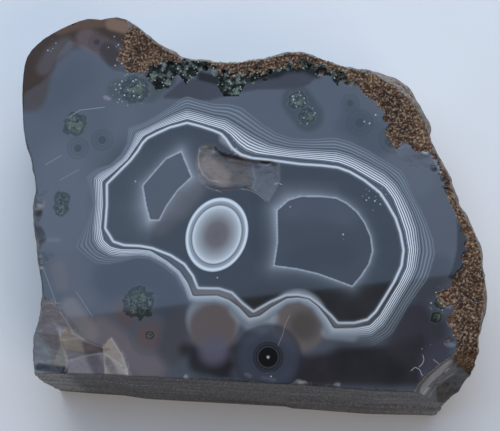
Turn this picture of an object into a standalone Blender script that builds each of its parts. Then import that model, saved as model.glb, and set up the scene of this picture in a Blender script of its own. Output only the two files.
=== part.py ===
"""Half of a banded agate nodule: polished flat on top and sawn along the front.

The stone is one solid. It lies on its base with the polished face up. The rim of the
polished face is drawn in millimetres, with X to the right, Y to the back and Z up.
The corners that are broken off are drawn as depths below the polished face.
"""

import math
import random
from dataclasses import dataclass

import bmesh
import bpy
from mathutils import Vector, noise
from mathutils.geometry import delaunay_2d_cdt, intersect_point_line

MM = 0.001

# Driving dimensions, in millimetres

THICKNESS = 24.0
HALF_LENGTH = 52.0

# The sawn front: lean for each millimetre down, eased towards its ends, and the step left by the saw

FRONT_FLARE = 0.235
FRONT_END_EASE = 0.17
FRONT_HALF = 47.0
LEDGE_LEVEL = 0.62
LEDGE_DEPTH = 0.35
LEDGE_LEFT = 8.0

# Chips along the sawn edge of the polished face

NICK_RANGE = (-26.0, 35.0)
NICK_SPACING = 3.2
NICK_THRESHOLD = 0.12
NICK_DEPTH = 1.3
SHOULDER = 0.8

# Natural sides: the swell below the rim, its lumps and its knobs

SWELL_SHARE = 0.9
LUMP_SIZE = 9.0
LUMP_FLATNESS = 1.3
LUMP_RISE = 0.4
LUMP_INSET = 0.35
KNOB_SIZE = 6.0

# Host rock in the polished plane: rough, and pitted by gas

ROCK_ROUGHNESS = 0.5
ROCK_GRAIN = 1.15
PIT_COUNT = 120
PIT_TRIES = 9000
PIT_SIDES = 7
PIT_RADII = (0.4, 1.0)
PIT_GAP = 0.45
PIT_SLOPE = 0.75
PIT_FLOOR = 0.3

# Shell-shaped chip in the middle of the face, as rings of (share of its outline, depth)

CHIP_DEPTH = 0.6
CHIP_RINGS = ((1.0, 0.0), (0.88, 0.45), (0.5, CHIP_DEPTH))

# How finely the surface is drawn: levels are shares of the way from rim to base

LEVELS = (0.0, 0.06, 0.14, 0.23, 0.33, 0.44, 0.55, 0.61, 0.64, 0.74, 0.84, 0.92, 0.97, 1.0)
RIM_STEP = 2.0
FRONT_STEP = 1.7
FACE_STEP = 3.4
ROCK_STEP = 1.7
BASE_STEP = 6.0
NET_SHARE = 0.62
EDGE_SHARE = 0.42
SIGHT = 3
SHARP_ANGLE = 32.0

POLISHED, ROUGH, SAWN = range(3)
SEED = 7


@dataclass(frozen=True)
class Stretch:
    """A stretch of the rim and the shape of the side below it.

    Args:
        points: rim points as (x, y, depth of the broken edge below the polished face).
        bulge: how far the side swells out below the rim.
        tuck: how far the foot of the side stands in from the rim.
        lumps: height of the lumps and ledges on the side.
        sawn: whether the side is the flat sawn one.
    """

    points: tuple
    bulge: float
    tuck: float
    lumps: float
    sawn: bool = False


# The rim, anticlockwise seen from above, starting at the front left corner

FRONT = Stretch(
    points=(
        (-47.5, -36.2, 2.2),
        (-40.0, -36.3, 1.8),
        (-32.0, -36.5, 1.4),
        (-26.4, -37.2, 0.0),
        (-5.6, -38.2, 0.0),
        (12.0, -39.1, 0.0),
        (26.0, -40.2, 0.0),
        (35.6, -40.6, 0.0),
        (37.4, -40.7, 2.5),
        (39.2, -40.8, 6.0),
        (41.0, -41.0, 9.5),
    ),
    bulge=0.0,
    tuck=0.0,
    lumps=0.0,
    sawn=True,
)
RIGHT = Stretch(
    points=(
        (43.8, -40.8, 11.0),
        (45.6, -39.8, 11.0),
        (46.6, -37.8, 8.5),
        (48.2, -35.0, 4.0),
        (49.2, -32.2, 0.8),
        (49.5, -29.5, 0.0),
        (50.4, -24.4, 0.0),
        (51.2, -19.0, 0.0),
        (50.7, -13.5, 0.0),
        (50.3, -9.0, 0.0),
        (47.7, -3.4, 0.0),
        (45.1, 2.0, 0.0),
        (44.4, 5.6, 0.0),
        (41.3, 11.4, 0.0),
        (39.7, 16.5, 0.0),
    ),
    bulge=1.0,
    tuck=5.0,
    lumps=1.3,
)
BACK_RIGHT = Stretch(
    points=(
        (38.3, 20.0, 0.0),
        (36.2, 22.9, 0.0),
        (33.6, 25.8, 0.0),
        (31.8, 27.2, 0.0),
        (28.3, 28.7, 0.0),
        (26.4, 29.9, 0.0),
    ),
    bulge=3.5,
    tuck=6.0,
    lumps=1.2,
)
BACK = Stretch(
    points=(
        (22.2, 30.9, 0.0),
        (17.5, 32.8, 0.0),
        (12.3, 34.6, 0.0),
        (9.4, 35.0, 0.0),
        (4.9, 33.8, 0.0),
        (-2.6, 32.9, 0.0),
        (-11.0, 33.2, 0.0),
        (-15.1, 34.0, 0.0),
        (-21.5, 38.2, 0.0),
        (-25.6, 41.8, 0.0),
        (-30.0, 43.6, 0.0),
    ),
    bulge=1.5,
    tuck=8.0,
    lumps=1.6,
)
BACK_LEFT = Stretch(
    points=(
        (-33.7, 43.1, 0.0),
        (-36.7, 43.4, 0.0),
        (-41.1, 42.0, 0.0),
        (-46.8, 38.9, 0.0),
        (-50.6, 34.8, 0.0),
    ),
    bulge=1.7,
    tuck=9.0,
    lumps=1.0,
)
LEFT = Stretch(
    points=(
        (-51.5, 28.4, 0.0),
        (-51.3, 22.0, 0.0),
        (-50.7, 16.4, 0.0),
        (-49.0, 11.0, 0.0),
        (-47.8, 4.2, 0.0),
        (-48.4, 1.2, 0.2),
        (-48.3, -1.4, 1.4),
        (-47.9, -4.0, 0.5),
        (-47.3, -6.6, 1.6),
        (-47.1, -9.6, 0.2),
        (-46.5, -14.0, 0.0),
        (-45.4, -20.3, 0.0),
    ),
    bulge=1.9,
    tuck=7.0,
    lumps=1.0,
)
LEFT_FRONT = Stretch(
    points=(
        (-45.5, -22.6, 0.5),
        (-46.2, -26.0, 1.5),
        (-46.6, -29.5, 2.2),
        (-47.1, -33.2, 2.6),
    ),
    bulge=3.8,
    tuck=0.5,
    lumps=0.8,
)
STRETCHES = (FRONT, RIGHT, BACK_RIGHT, BACK, BACK_LEFT, LEFT, LEFT_FRONT)

# Broken surfaces inside the rim, as open lines of (x, y, depth) or closed loops

FRONT_LEFT_CRACK = (
    (-43.4, -21.0, 0.0),
    (-41.4, -23.3, 0.0),
    (-38.8, -27.0, 0.0),
    (-36.0, -29.4, 0.0),
    (-32.0, -30.9, 0.0),
    (-30.2, -28.9, 0.0),
    (-27.8, -32.6, 0.0),
)
FRONT_LEFT_FACETS = (
    (-43.6, -25.2, 0.7),
    (-41.8, -28.3, 0.5),
    (-40.0, -27.2, 0.6),
    (-43.8, -31.2, 2.1),
    (-43.2, -34.8, 2.3),
    (-40.5, -31.6, 1.2),
    (-40.4, -34.6, 1.5),
    (-36.4, -32.4, 0.9),
    (-32.2, -31.9, 0.7),
    (-31.8, -34.6, 1.2),
    (-30.4, -31.3, 0.5),
    (-29.0, -34.4, 0.6),
)
FRONT_RIGHT_BREAK = (
    (36.2, -39.2, 0.0),
    (38.5, -36.7, 0.0),
    (40.8, -34.8, 0.0),
    (43.2, -33.2, 0.0),
    (46.0, -32.0, 0.0),
)
FRONT_RIGHT_RIDGE = (
    (38.2, -39.6, 2.2),
    (40.5, -37.4, 2.4),
    (42.8, -35.6, 2.4),
    (45.6, -34.2, 2.2),
)
FRONT_RIGHT_SCOOP = (
    (40.6, -39.4, 7.0),
    (42.4, -38.2, 7.2),
    (44.6, -36.8, 6.0),
)
FACE_CHIP = (
    (-11.0, 13.1),
    (-9.5, 13.7),
    (-7.8, 13.4),
    (-6.4, 12.0),
    (-3.7, 11.2),
    (2.2, 9.9),
    (5.4, 9.8),
    (6.6, 9.0),
    (6.8, 5.7),
    (5.8, 3.4),
    (4.4, 1.1),
    (2.3, 2.9),
    (0.0, 4.1),
    (-4.0, 3.7),
    (-7.6, 3.7),
    (-9.8, 4.3),
    (-11.1, 6.0),
    (-11.6, 9.6),
)
LEFT_NOTCHES = (
    (-46.0, 1.2, 0.0),
    (-46.0, -1.4, 0.0),
    (-46.7, -3.8, 0.0),
    (-45.2, -6.5, 0.0),
    (-46.0, -8.6, 0.0),
)
OVAL_CHIP_CENTRE = (43.4, -29.9)
OVAL_CHIP_RADII = (1.6, 0.9)
OVAL_CHIP_DEPTH = 0.5

# Outlines of the host rock in the polished plane, which run on past the rim on their outer side

ROCK_PATCH = (
    (-29.4, 33.3),
    (-29.0, 37.0),
    (-27.6, 39.6),
    (-24.7, 45.0),
    (-14.6, 34.0),
    (-17.1, 32.4),
    (-23.7, 30.8),
    (-27.4, 30.6),
)
ROCK_BAND = (
    (-14.6, 34.0),
    (-11.0, 31.7),
    (-6.2, 29.3),
    (0.5, 28.4),
    (9.5, 31.3),
    (15.5, 30.3),
    (24.1, 26.3),
    (27.4, 23.5),
    (32.7, 15.3),
    (36.8, 11.9),
    (41.9, 5.8),
    (45.3, -3.0),
    (47.1, -8.8),
    (46.1, -14.1),
    (43.5, -17.0),
    (45.3, -21.0),
    (42.7, -25.0),
    (45.4, -31.0),
    (60.0, -31.0),
    (60.0, 50.0),
    (-14.6, 50.0),
)


def clear_scene():
    """Remove whatever objects the file holds."""
    for thing in list(bpy.data.objects):
        bpy.data.objects.remove(thing, do_unlink=True)


def curve_point(before, start, end, after, share):
    """Point on the smooth curve from start to end that also heeds the points beyond them.

    Args:
        before, start, end, after: four points in a row.
        share: how far along from start to end, 0 to 1.

    Returns:
        The point as a Vector.
    """
    a, b, c, d = (Vector(point) for point in (before, start, end, after))
    across = c - a
    beyond = d - b
    span = c - b
    turn = 3.0 * span - across - 0.5 * beyond
    settle = 0.5 * (across + beyond) - 2.0 * span
    return b + share * (0.5 * across + share * (turn + share * settle))


def rim_stations():
    """Walk round the rim in even steps.

    Returns:
        A list of (rim point with its depth, stretch) pairs, anticlockwise.
    """
    corners = [(point, stretch) for stretch in STRETCHES for point in stretch.points]
    count = len(corners)
    stations = []
    for i, (start, stretch) in enumerate(corners):
        end, following = corners[(i + 1) % count]
        straight = stretch.sawn or following.sawn
        before = corners[i - 1][0]
        after = corners[(i + 2) % count][0]
        if corners[i - 1][1].sawn:
            before = start
        if corners[(i + 2) % count][1].sawn:
            after = end
        step = FRONT_STEP if stretch.sawn else RIM_STEP
        length = (Vector(end[:2]) - Vector(start[:2])).length
        pieces = max(1, round(length / step))
        for k in range(pieces):
            share = k / pieces
            if straight:
                point = Vector(start).lerp(Vector(end), share)
            else:
                point = curve_point(before, start, end, after, share)
            stations.append((point, stretch))
    return stations


def outward_directions(points):
    """Directions that point out of a closed anticlockwise loop, eased so that none cross.

    Args:
        points: the loop's points.

    Returns:
        One unit Vector for each point.
    """
    count = len(points)
    found = []
    for i in range(count):
        along = points[(i + SIGHT) % count].xy - points[i - SIGHT].xy
        found.append(Vector((along.y, -along.x, 0.0)).normalized())
    return found


def eased(values, reach):
    """Running mean of a closed row of numbers.

    Args:
        values: the numbers.
        reach: how many neighbours on each side take part.

    Returns:
        The smoothed list.
    """
    count = len(values)
    width = 2 * reach + 1
    return [sum(values[(i + k) % count] for k in range(-reach, reach + 1)) / width for i in range(count)]


def rim_nicks(point):
    """Depth of the small chips along the front edge at a rim point."""
    if not NICK_RANGE[0] < point.x < NICK_RANGE[1]:
        return 0.0
    grain = noise.noise(Vector((point.x / NICK_SPACING, 0.0, 0.0)))
    return max(0.0, grain - NICK_THRESHOLD) * NICK_DEPTH


def roughness_depth(x, y):
    """Depth of the rough surface of the host rock at a place."""
    return ROCK_ROUGHNESS * abs(noise.noise(Vector((x / ROCK_GRAIN, y / ROCK_GRAIN, 0.0))))


def rim_wear(point):
    """Depth of the ragged edge where the rim is host rock."""
    return roughness_depth(point.x, point.y) if in_rock(point.x, point.y) else 0.0


def front_flare(x):
    """How far the sawn front leans out for each millimetre it goes down."""
    return FRONT_FLARE * (1.0 - FRONT_END_EASE * (x / FRONT_HALF) ** 4)


def side_rings(stations):
    """Shape the sides, level by level, from the rim down to the base.

    Args:
        stations: the (rim point, stretch) pairs.

    Returns:
        A list of rings, each a list of Vectors in millimetres.
    """
    rim = [point for point, _ in stations]
    outward = outward_directions(rim)
    bulges = eased([stretch.bulge for _, stretch in stations], 3)
    tucks = eased([stretch.tuck for _, stretch in stations], 4)
    near_front = eased([float(stretch.sawn) for _, stretch in stations], 2)
    rings = []
    for level in LEVELS:
        ring = []
        for i, (point, stretch) in enumerate(stations):
            depth = max(0.0, point.z) + (rim_nicks(point) if stretch.sawn else rim_wear(point))
            rest = 1.0 - level
            height = THICKNESS * rest - depth * rest ** 2
            down = THICKNESS - height
            fall = down / THICKNESS
            swell = bulges[i] * math.sin(math.pi * fall ** SWELL_SHARE)
            shift = outward[i] * (swell - tucks[i] * fall ** 4)
            lean = front_flare(point.x) * down
            if stretch.sawn:
                ledge = LEDGE_DEPTH if level > LEDGE_LEVEL and point.x > LEDGE_LEFT else 0.0
                shift.y = -lean - ledge
            else:
                shift += side_lumps(point, outward[i], height, level, stretch.lumps)
                shift.y -= near_front[i] * lean
            ring.append(Vector((point.x, point.y, height)) + shift)
        rings.append(ring)
    return rings


def side_lumps(point, direction, height, level, size):
    """Lumps and ledges of a natural side at one place.

    Args:
        point: the rim point above.
        direction: the way out of the side.
        height: height above the base.
        level: 0 at the rim, 1 at the base.
        size: height of the lumps.

    Returns:
        The shift as a Vector.
    """
    if level in (0.0, 1.0):
        return Vector()
    place = Vector((point.x, point.y, height * LUMP_FLATNESS))
    lump = noise.fractal(place / LUMP_SIZE, 0.8, 2.1, 4)
    knob = 0.5 - noise.voronoi(place / KNOB_SIZE)[0][0]
    strength = size * math.sin(math.pi * level) ** 0.5
    rise = LUMP_RISE * strength * noise.noise(place / KNOB_SIZE)
    return direction * strength * (lump + knob - LUMP_INSET) + Vector((0.0, 0.0, rise))


def inside(x, y, loop):
    """Whether a point lies inside a closed loop."""
    held = False
    for i, corner in enumerate(loop):
        last = loop[i - 1]
        if (corner[1] > y) != (last[1] > y):
            crossing = corner[0] + (y - corner[1]) * (last[0] - corner[0]) / (last[1] - corner[1])
            if x < crossing:
                held = not held
    return held


def in_rock(x, y):
    """Whether a point of the polished face is host rock."""
    return inside(x, y, ROCK_PATCH) or inside(x, y, ROCK_BAND)


class Sheet:
    """A patchwork of points, each with a depth below its plane, that is filled with triangles."""

    def __init__(self, rim):
        """Start with the points of a closed loop, which stay the first ones.

        Args:
            rim: (x, y, depth) for each point of the loop.
        """
        self.points = [Vector(place[:2]) for place in rim]
        self.depths = [place[2] for place in rim]
        self.rim = [tuple(point) for point in self.points]
        self.edges = [(i, (i + 1) % len(rim)) for i in range(len(rim))]

    def add(self, x, y, depth):
        """Add one point and return its number."""
        self.points.append(Vector((x, y)))
        self.depths.append(depth)
        return len(self.points) - 1

    def nearest_on_rim(self, x, y):
        """Number of the rim point nearest to a place."""
        place = Vector((x, y))
        return min(range(len(self.rim)), key=lambda i: (self.points[i] - place).length)

    def line(self, places, closed=False, from_rim=False):
        """Add a row of points joined by edges.

        Args:
            places: (x, y, depth) for each point.
            closed: whether the last one joins the first.
            from_rim: whether both ends run on to the rim.
        """
        numbers = [self.add(*place) for place in places]
        self.edges += list(zip(numbers, numbers[1:]))
        if closed:
            self.edges.append((numbers[-1], numbers[0]))
        if from_rim:
            self.edges.append((self.nearest_on_rim(*places[0][:2]), numbers[0]))
            self.edges.append((numbers[-1], self.nearest_on_rim(*places[-1][:2])))

    def clear_of(self, x, y, point_gap, edge_gap):
        """Whether a place is at least so far away from every point and every edge."""
        place = Vector((x, y))
        if any((point - place).length < point_gap for point in self.points):
            return False
        for start, end in self.edges:
            near, share = intersect_point_line(place, self.points[start], self.points[end])
            if 0.0 < share < 1.0 and (near.xy - place).length < edge_gap:
                return False
        return True

    def fill(self, step, depth_at):
        """Add points on an even triangular net wherever there is room inside the rim.

        Args:
            step: distance between the points.
            depth_at: gives the depth at (x, y), or None where no point belongs.
        """
        left = min(x for x, _ in self.rim)
        front = min(y for _, y in self.rim)
        columns = int((max(x for x, _ in self.rim) - left) / step)
        row_gap = step * math.sqrt(0.75)
        rows = int((max(y for _, y in self.rim) - front) / row_gap)
        for row in range(rows + 1):
            y = front + row * row_gap
            for column in range(columns + 1):
                x = left + (column + 0.5 * (row % 2)) * step
                if not inside(x, y, self.rim):
                    continue
                depth = depth_at(x, y)
                if depth is not None and self.clear_of(x, y, step * NET_SHARE, step * EDGE_SHARE):
                    self.add(x, y, depth)

    def triangles(self):
        """Fill the rim.

        Returns:
            Triangles as triples of point numbers, anticlockwise.
        """
        filled = delaunay_2d_cdt(self.points, self.edges, [], 1, 1e-5)
        sources = filled[3]
        return [[sources[corner][0] for corner in face] for face in filled[2]]


def add_front_left_break(sheet):
    """Add the cracked corner at the front left."""
    sheet.line(FRONT_LEFT_CRACK, from_rim=True)
    for place in FRONT_LEFT_FACETS:
        sheet.add(*place)


def add_front_right_break(sheet):
    """Add the corner struck off at the front right, with its ridge and scoop."""
    sheet.line(FRONT_RIGHT_BREAK, from_rim=True)
    sheet.line(FRONT_RIGHT_RIDGE, from_rim=True)
    sheet.line(FRONT_RIGHT_SCOOP)


def add_face_chip(sheet):
    """Add the shallow shell-shaped chip in the middle of the polished face."""
    centre_x = sum(x for x, _ in FACE_CHIP) / len(FACE_CHIP)
    centre_y = sum(y for _, y in FACE_CHIP) / len(FACE_CHIP)
    for share, depth in CHIP_RINGS:
        ring = []
        for x, y in FACE_CHIP:
            ring.append((centre_x + share * (x - centre_x), centre_y + share * (y - centre_y), depth))
        sheet.line(ring, closed=True)
    sheet.add(centre_x, centre_y, CHIP_DEPTH)


def add_shoulders(sheet):
    """Add points where the polish starts, just inside the nicked front and the notched left edge."""
    front_reach = FRONT.points[0][1]
    for x, y in sheet.rim:
        if y < front_reach and NICK_RANGE[0] < x < NICK_RANGE[1]:
            sheet.add(x, y + SHOULDER, 0.0)
    for place in LEFT_NOTCHES:
        sheet.add(*place)


def add_bowl(sheet, centre, radii, depth, turn=0.0):
    """Add a small round hollow.

    Args:
        sheet: the Sheet it goes into.
        centre: (x, y) of its middle.
        radii: its half sizes along x and y.
        depth: depth in its middle.
        turn: angle of its first corner.
    """
    ring = []
    for k in range(PIT_SIDES):
        angle = turn + math.tau * k / PIT_SIDES
        ring.append((centre[0] + radii[0] * math.cos(angle), centre[1] + radii[1] * math.sin(angle), 0.0))
    sheet.line(ring, closed=True)
    sheet.add(centre[0], centre[1], depth)


def add_pits(sheet):
    """Add the gas pits of the host rock where the polished face cuts through it."""
    maker = random.Random(SEED)
    made = 0
    for _ in range(PIT_TRIES):
        if made == PIT_COUNT:
            break
        x = maker.uniform(-HALF_LENGTH, HALF_LENGTH)
        y = maker.uniform(-HALF_LENGTH, HALF_LENGTH)
        radius = maker.uniform(*PIT_RADII)
        roundness = maker.uniform(0.7, 1.0)
        room = radius + PIT_GAP
        if in_rock(x, y) and inside(x, y, sheet.rim) and sheet.clear_of(x, y, room, room):
            depth = PIT_SLOPE * radius + PIT_FLOOR
            add_bowl(sheet, (x, y), (radius, radius * roundness), depth, turn=x)
            made += 1


def broken(x, y):
    """Whether a place lies on one of the broken corners or in the chip."""
    corner_left = [place[:2] for place in FRONT_LEFT_CRACK] + [(-26.4, -60.0), (-60.0, -60.0), (-60.0, -20.0)]
    corner_right = [place[:2] for place in FRONT_RIGHT_BREAK] + [(60.0, -32.0), (60.0, -60.0), (35.0, -60.0)]
    return any(inside(x, y, loop) for loop in (corner_left, corner_right, FACE_CHIP))


def rock_depth(x, y):
    """Depth of the rough host rock below the polished plane, or None off the rock."""
    if not in_rock(x, y) or broken(x, y):
        return None
    return roughness_depth(x, y)


def polish_depth(x, y):
    """Depth of the polished agate, always nothing, or None off the polish."""
    if in_rock(x, y) or broken(x, y):
        return None
    return 0.0


def polished_face(ring):
    """Lay out the top of the stone: polish, host rock, pits, chips and broken corners.

    Args:
        ring: the rim as Vectors in millimetres.

    Returns:
        The Sheet.
    """
    sheet = Sheet([(point.x, point.y, THICKNESS - point.z) for point in ring])
    add_front_left_break(sheet)
    add_front_right_break(sheet)
    add_face_chip(sheet)
    add_shoulders(sheet)
    add_bowl(sheet, OVAL_CHIP_CENTRE, OVAL_CHIP_RADII, OVAL_CHIP_DEPTH)
    add_pits(sheet)
    sheet.fill(ROCK_STEP, rock_depth)
    sheet.fill(FACE_STEP, polish_depth)
    return sheet


def base_face(ring):
    """Lay out the flat base inside the foot of the sides.

    Args:
        ring: the foot as Vectors in millimetres.

    Returns:
        The Sheet.
    """
    sheet = Sheet([(point.x, point.y, 0.0) for point in ring])
    sheet.fill(BASE_STEP, lambda x, y: 0.0)
    return sheet


def add_sheet(mesh, sheet, rim_vertices, height, upward):
    """Turn a Sheet into faces that meet a ring of vertices.

    Args:
        mesh: the bmesh.
        sheet: the Sheet.
        rim_vertices: the vertices that stand for the sheet's rim.
        height: height of the sheet's plane in millimetres.
        upward: whether the faces point up.

    Returns:
        The new faces.
    """
    vertices = list(rim_vertices)
    for point, depth in list(zip(sheet.points, sheet.depths))[len(vertices):]:
        vertices.append(mesh.verts.new((point.x, point.y, height - depth)))
    faces = []
    for corners in sheet.triangles():
        turned = corners if upward else corners[::-1]
        faces.append(mesh.faces.new([vertices[corner] for corner in turned]))
    return faces


def add_sides(mesh, rings):
    """Join the rings into the sides of the stone.

    Args:
        mesh: the bmesh.
        rings: the rings from the rim to the base.

    Returns:
        The vertices of the first and the last ring, and the new faces, rim to base.
    """
    rows = [[mesh.verts.new(point) for point in ring] for ring in rings]
    faces = []
    count = len(rows[0])
    for upper, lower in zip(rows, rows[1:]):
        for i in range(count):
            after = (i + 1) % count
            faces.append(mesh.faces.new((upper[i], lower[i], lower[after], upper[after])))
    return rows[0], rows[-1], faces


def stone_material(name, colour, roughness):
    """Make a material of a stone surface.

    Args:
        name: what the surface is.
        colour: linear red, green and blue.
        roughness: 0 for a mirror, 1 for chalk.

    Returns:
        The material.
    """
    material = bpy.data.materials.new(name)
    material.use_nodes = True
    shader = material.node_tree.nodes["Principled BSDF"]
    shader.inputs["Base Color"].default_value = (*colour, 1.0)
    shader.inputs["Roughness"].default_value = roughness
    shader.inputs["Metallic"].default_value = 0.0
    return material


def build_agate():
    """Build the stone and centre its box over the origin, base at height nought."""
    stations = rim_stations()
    rings = side_rings(stations)
    mesh = bmesh.new()
    rim, foot, sides = add_sides(mesh, rings)
    top = add_sheet(mesh, polished_face(rings[0]), rim, THICKNESS, upward=True)
    add_sheet(mesh, base_face(rings[-1]), foot, 0.0, upward=False)
    for face in mesh.faces:
        face.material_index = ROUGH
    for face in top:
        middle = face.calc_center_median()
        if not in_rock(middle.x, middle.y):
            face.material_index = POLISHED
    count = len(stations)
    for number, face in enumerate(sides):
        if stations[number % count][1].sawn:
            face.material_index = SAWN
    across = [vertex.co.x for vertex in mesh.verts]
    along = [vertex.co.y for vertex in mesh.verts]
    middle = Vector(((min(across) + max(across)) / 2, (min(along) + max(along)) / 2, 0.0))
    bmesh.ops.translate(mesh, verts=mesh.verts, vec=-middle)
    bmesh.ops.scale(mesh, verts=mesh.verts, vec=(MM, MM, MM))
    bmesh.ops.triangulate(mesh, faces=mesh.faces)
    for face in mesh.faces:
        face.smooth = True
    data = bpy.data.meshes.new("agate")
    mesh.to_mesh(data)
    mesh.free()
    data.set_sharp_from_angle(angle=math.radians(SHARP_ANGLE))
    for material in (
        stone_material("polished agate", (0.075, 0.1, 0.13), 0.1),
        stone_material("host rock and rind", (0.13, 0.095, 0.07), 0.9),
        stone_material("sawn agate", (0.1, 0.105, 0.11), 0.7),
    ):
        data.materials.append(material)
    stone = bpy.data.objects.new("agate", data)
    bpy.context.scene.collection.objects.link(stone)


def main():
    """Model the stone in an empty scene."""
    clear_scene()
    build_agate()


if __name__ == "__main__":
    main()
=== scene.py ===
"""Looks of half a Botswana agate nodule, polished on top and sawn along the front.

The stone is one piece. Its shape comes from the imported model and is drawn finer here.
The growth bands, cells and eyes of the polished face are drawn from smooth curves:
each point of the mesh holds its distances to them, and the materials turn those
distances into colour. Lengths are millimetres unless a name says otherwise.
"""

from __future__ import annotations

import logging
import math
from dataclasses import dataclass
from enum import IntEnum

import bmesh
import bpy
import numpy as np
from mathutils import Matrix, Vector, noise
from mathutils.geometry import delaunay_2d_cdt

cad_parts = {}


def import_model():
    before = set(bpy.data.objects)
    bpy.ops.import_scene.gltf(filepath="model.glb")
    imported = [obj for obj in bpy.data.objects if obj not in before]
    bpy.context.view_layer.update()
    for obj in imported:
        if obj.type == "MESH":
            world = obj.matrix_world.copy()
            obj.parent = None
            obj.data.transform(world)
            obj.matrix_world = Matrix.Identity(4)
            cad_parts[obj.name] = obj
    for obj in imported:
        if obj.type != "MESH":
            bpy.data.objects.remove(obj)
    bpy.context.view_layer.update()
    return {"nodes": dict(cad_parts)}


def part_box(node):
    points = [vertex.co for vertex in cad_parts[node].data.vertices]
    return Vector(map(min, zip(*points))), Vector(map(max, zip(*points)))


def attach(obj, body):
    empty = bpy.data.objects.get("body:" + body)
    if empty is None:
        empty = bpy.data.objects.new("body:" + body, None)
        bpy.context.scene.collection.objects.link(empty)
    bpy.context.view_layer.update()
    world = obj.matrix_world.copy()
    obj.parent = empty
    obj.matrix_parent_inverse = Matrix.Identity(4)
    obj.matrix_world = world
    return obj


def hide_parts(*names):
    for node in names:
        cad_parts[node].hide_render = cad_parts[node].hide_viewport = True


LOG = logging.getLogger("agate")

# One millimetre in metres, the height of the polished face, and how near counts as touching it

MM = 0.001
TOP = 24.0
TOUCH = 0.002

# Least divisor, gap in metres that is welded, and gap at which two laid out points are one

TINY = 1e-9
WELD = 1e-6
SAME_PLACE = 1e-7

Point = tuple[float, float]
Line = tuple[Point, ...]


class Slot(IntEnum):
    """Kinds of surface on the stone, in the order of its material slots."""

    POLISHED = 0
    HOST_ROCK = 1
    RIND = 2
    SAWN = 3
    BROKEN = 4
    CRUST = 5


# The growth bands, from the inner white ribbon outwards, as closed curves

RIBBON: Line = (
    (-31.3, -3.7), (-31.0, 1.5), (-31.1, 6.3), (-28.5, 8.9), (-25.8, 11.6), (-24.2, 13.7),
    (-23.1, 15.5), (-22.0, 16.6), (-19.8, 17.7), (-17.1, 18.9), (-13.1, 19.9), (-10.2, 19.1),
    (-7.3, 18.1), (-5.5, 17.3), (-4.4, 16.1), (-3.0, 14.0), (-1.0, 12.5), (1.4, 11.7),
    (5.4, 11.2), (12.0, 10.2), (16.9, 9.8), (20.4, 9.3), (23.0, 8.3), (26.1, 6.4),
    (29.5, 3.6), (31.0, 1.2), (32.8, -2.1), (33.8, -5.4), (34.4, -9.1), (33.9, -12.5),
    (32.3, -15.9), (30.2, -19.3), (28.2, -22.4), (26.4, -24.1), (23.5, -24.8), (20.0, -24.8),
    (18.5, -23.1), (16.0, -20.7), (14.0, -19.2), (11.4, -18.6), (8.8, -18.7), (5.4, -20.2),
    (1.7, -22.3), (-0.6, -20.5), (-3.0, -18.1), (-5.8, -17.2), (-10.5, -17.1), (-11.6, -14.4),
    (-13.5, -11.8), (-16.6, -9.8), (-20.7, -8.2), (-23.4, -7.7), (-27.0, -7.5), (-29.4, -6.7),
)
GROOVE: Line = (
    (-32.0, -3.6), (-31.7, 1.5), (-31.9, 6.8), (-29.1, 9.2), (-26.4, 11.7), (-24.7, 14.2),
    (-22.8, 16.9), (-19.9, 18.4), (-16.9, 19.5), (-13.1, 20.5), (-10.1, 19.6), (-7.2, 18.7),
    (-5.2, 18.0), (-3.6, 16.8), (-2.0, 14.8), (-0.1, 13.3), (2.3, 12.4), (6.6, 11.9),
    (12.1, 11.2), (16.9, 10.7), (20.6, 10.1), (23.3, 9.0), (26.7, 6.9), (30.4, 4.6),
    (32.1, 2.1), (33.4, -1.5), (34.5, -5.0), (35.2, -9.1), (34.7, -12.9), (33.1, -16.1),
    (31.0, -19.5), (28.9, -23.0), (26.8, -25.1), (23.5, -25.7), (19.2, -25.8), (17.9, -23.7),
    (15.9, -21.2), (13.8, -19.5), (11.4, -19.1), (9.0, -19.3), (5.6, -21.2), (3.0, -23.1),
    (0.8, -23.5), (-1.2, -21.3), (-3.5, -19.6), (-6.2, -18.6), (-11.5, -18.7), (-12.6, -15.9),
    (-14.5, -13.2), (-17.1, -11.1), (-21.1, -8.6), (-23.8, -8.3), (-27.6, -8.2), (-29.9, -7.6),
    (-31.4, -6.2),
)
BRIGHT_EDGE: Line = (
    (-34.2, -3.6), (-33.8, 2.0), (-34.3, 7.7), (-33.0, 9.0), (-30.2, 10.2), (-27.7, 12.1),
    (-26.0, 14.8), (-24.8, 17.9), (-22.2, 19.0), (-19.2, 20.5), (-16.3, 21.9), (-13.2, 23.0),
    (-10.2, 22.2), (-7.1, 21.2), (-4.4, 20.6), (-1.7, 18.9), (1.4, 16.9), (5.4, 14.7),
    (9.8, 13.7), (15.4, 13.3), (20.2, 13.0), (23.0, 12.1), (27.0, 10.1), (30.6, 8.0),
    (33.2, 5.4), (34.9, 2.5), (36.4, -0.8), (37.5, -4.3), (37.9, -9.1), (37.2, -13.0),
    (36.0, -15.8), (33.9, -19.2), (31.9, -22.5), (29.9, -25.5), (27.3, -27.5), (23.0, -27.9),
    (17.9, -27.8), (16.4, -24.6), (14.5, -21.7), (11.6, -20.3), (9.0, -20.7), (6.9, -22.4),
    (4.7, -24.0), (0.8, -25.4), (-1.4, -23.8), (-3.8, -21.1), (-6.7, -20.2), (-10.9, -20.3),
    (-12.6, -19.7), (-13.6, -17.0), (-15.1, -14.2), (-18.0, -11.8), (-21.2, -10.2), (-23.6, -9.9),
    (-27.4, -10.2), (-30.1, -9.9), (-32.8, -8.3), (-34.0, -6.3),
)
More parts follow.
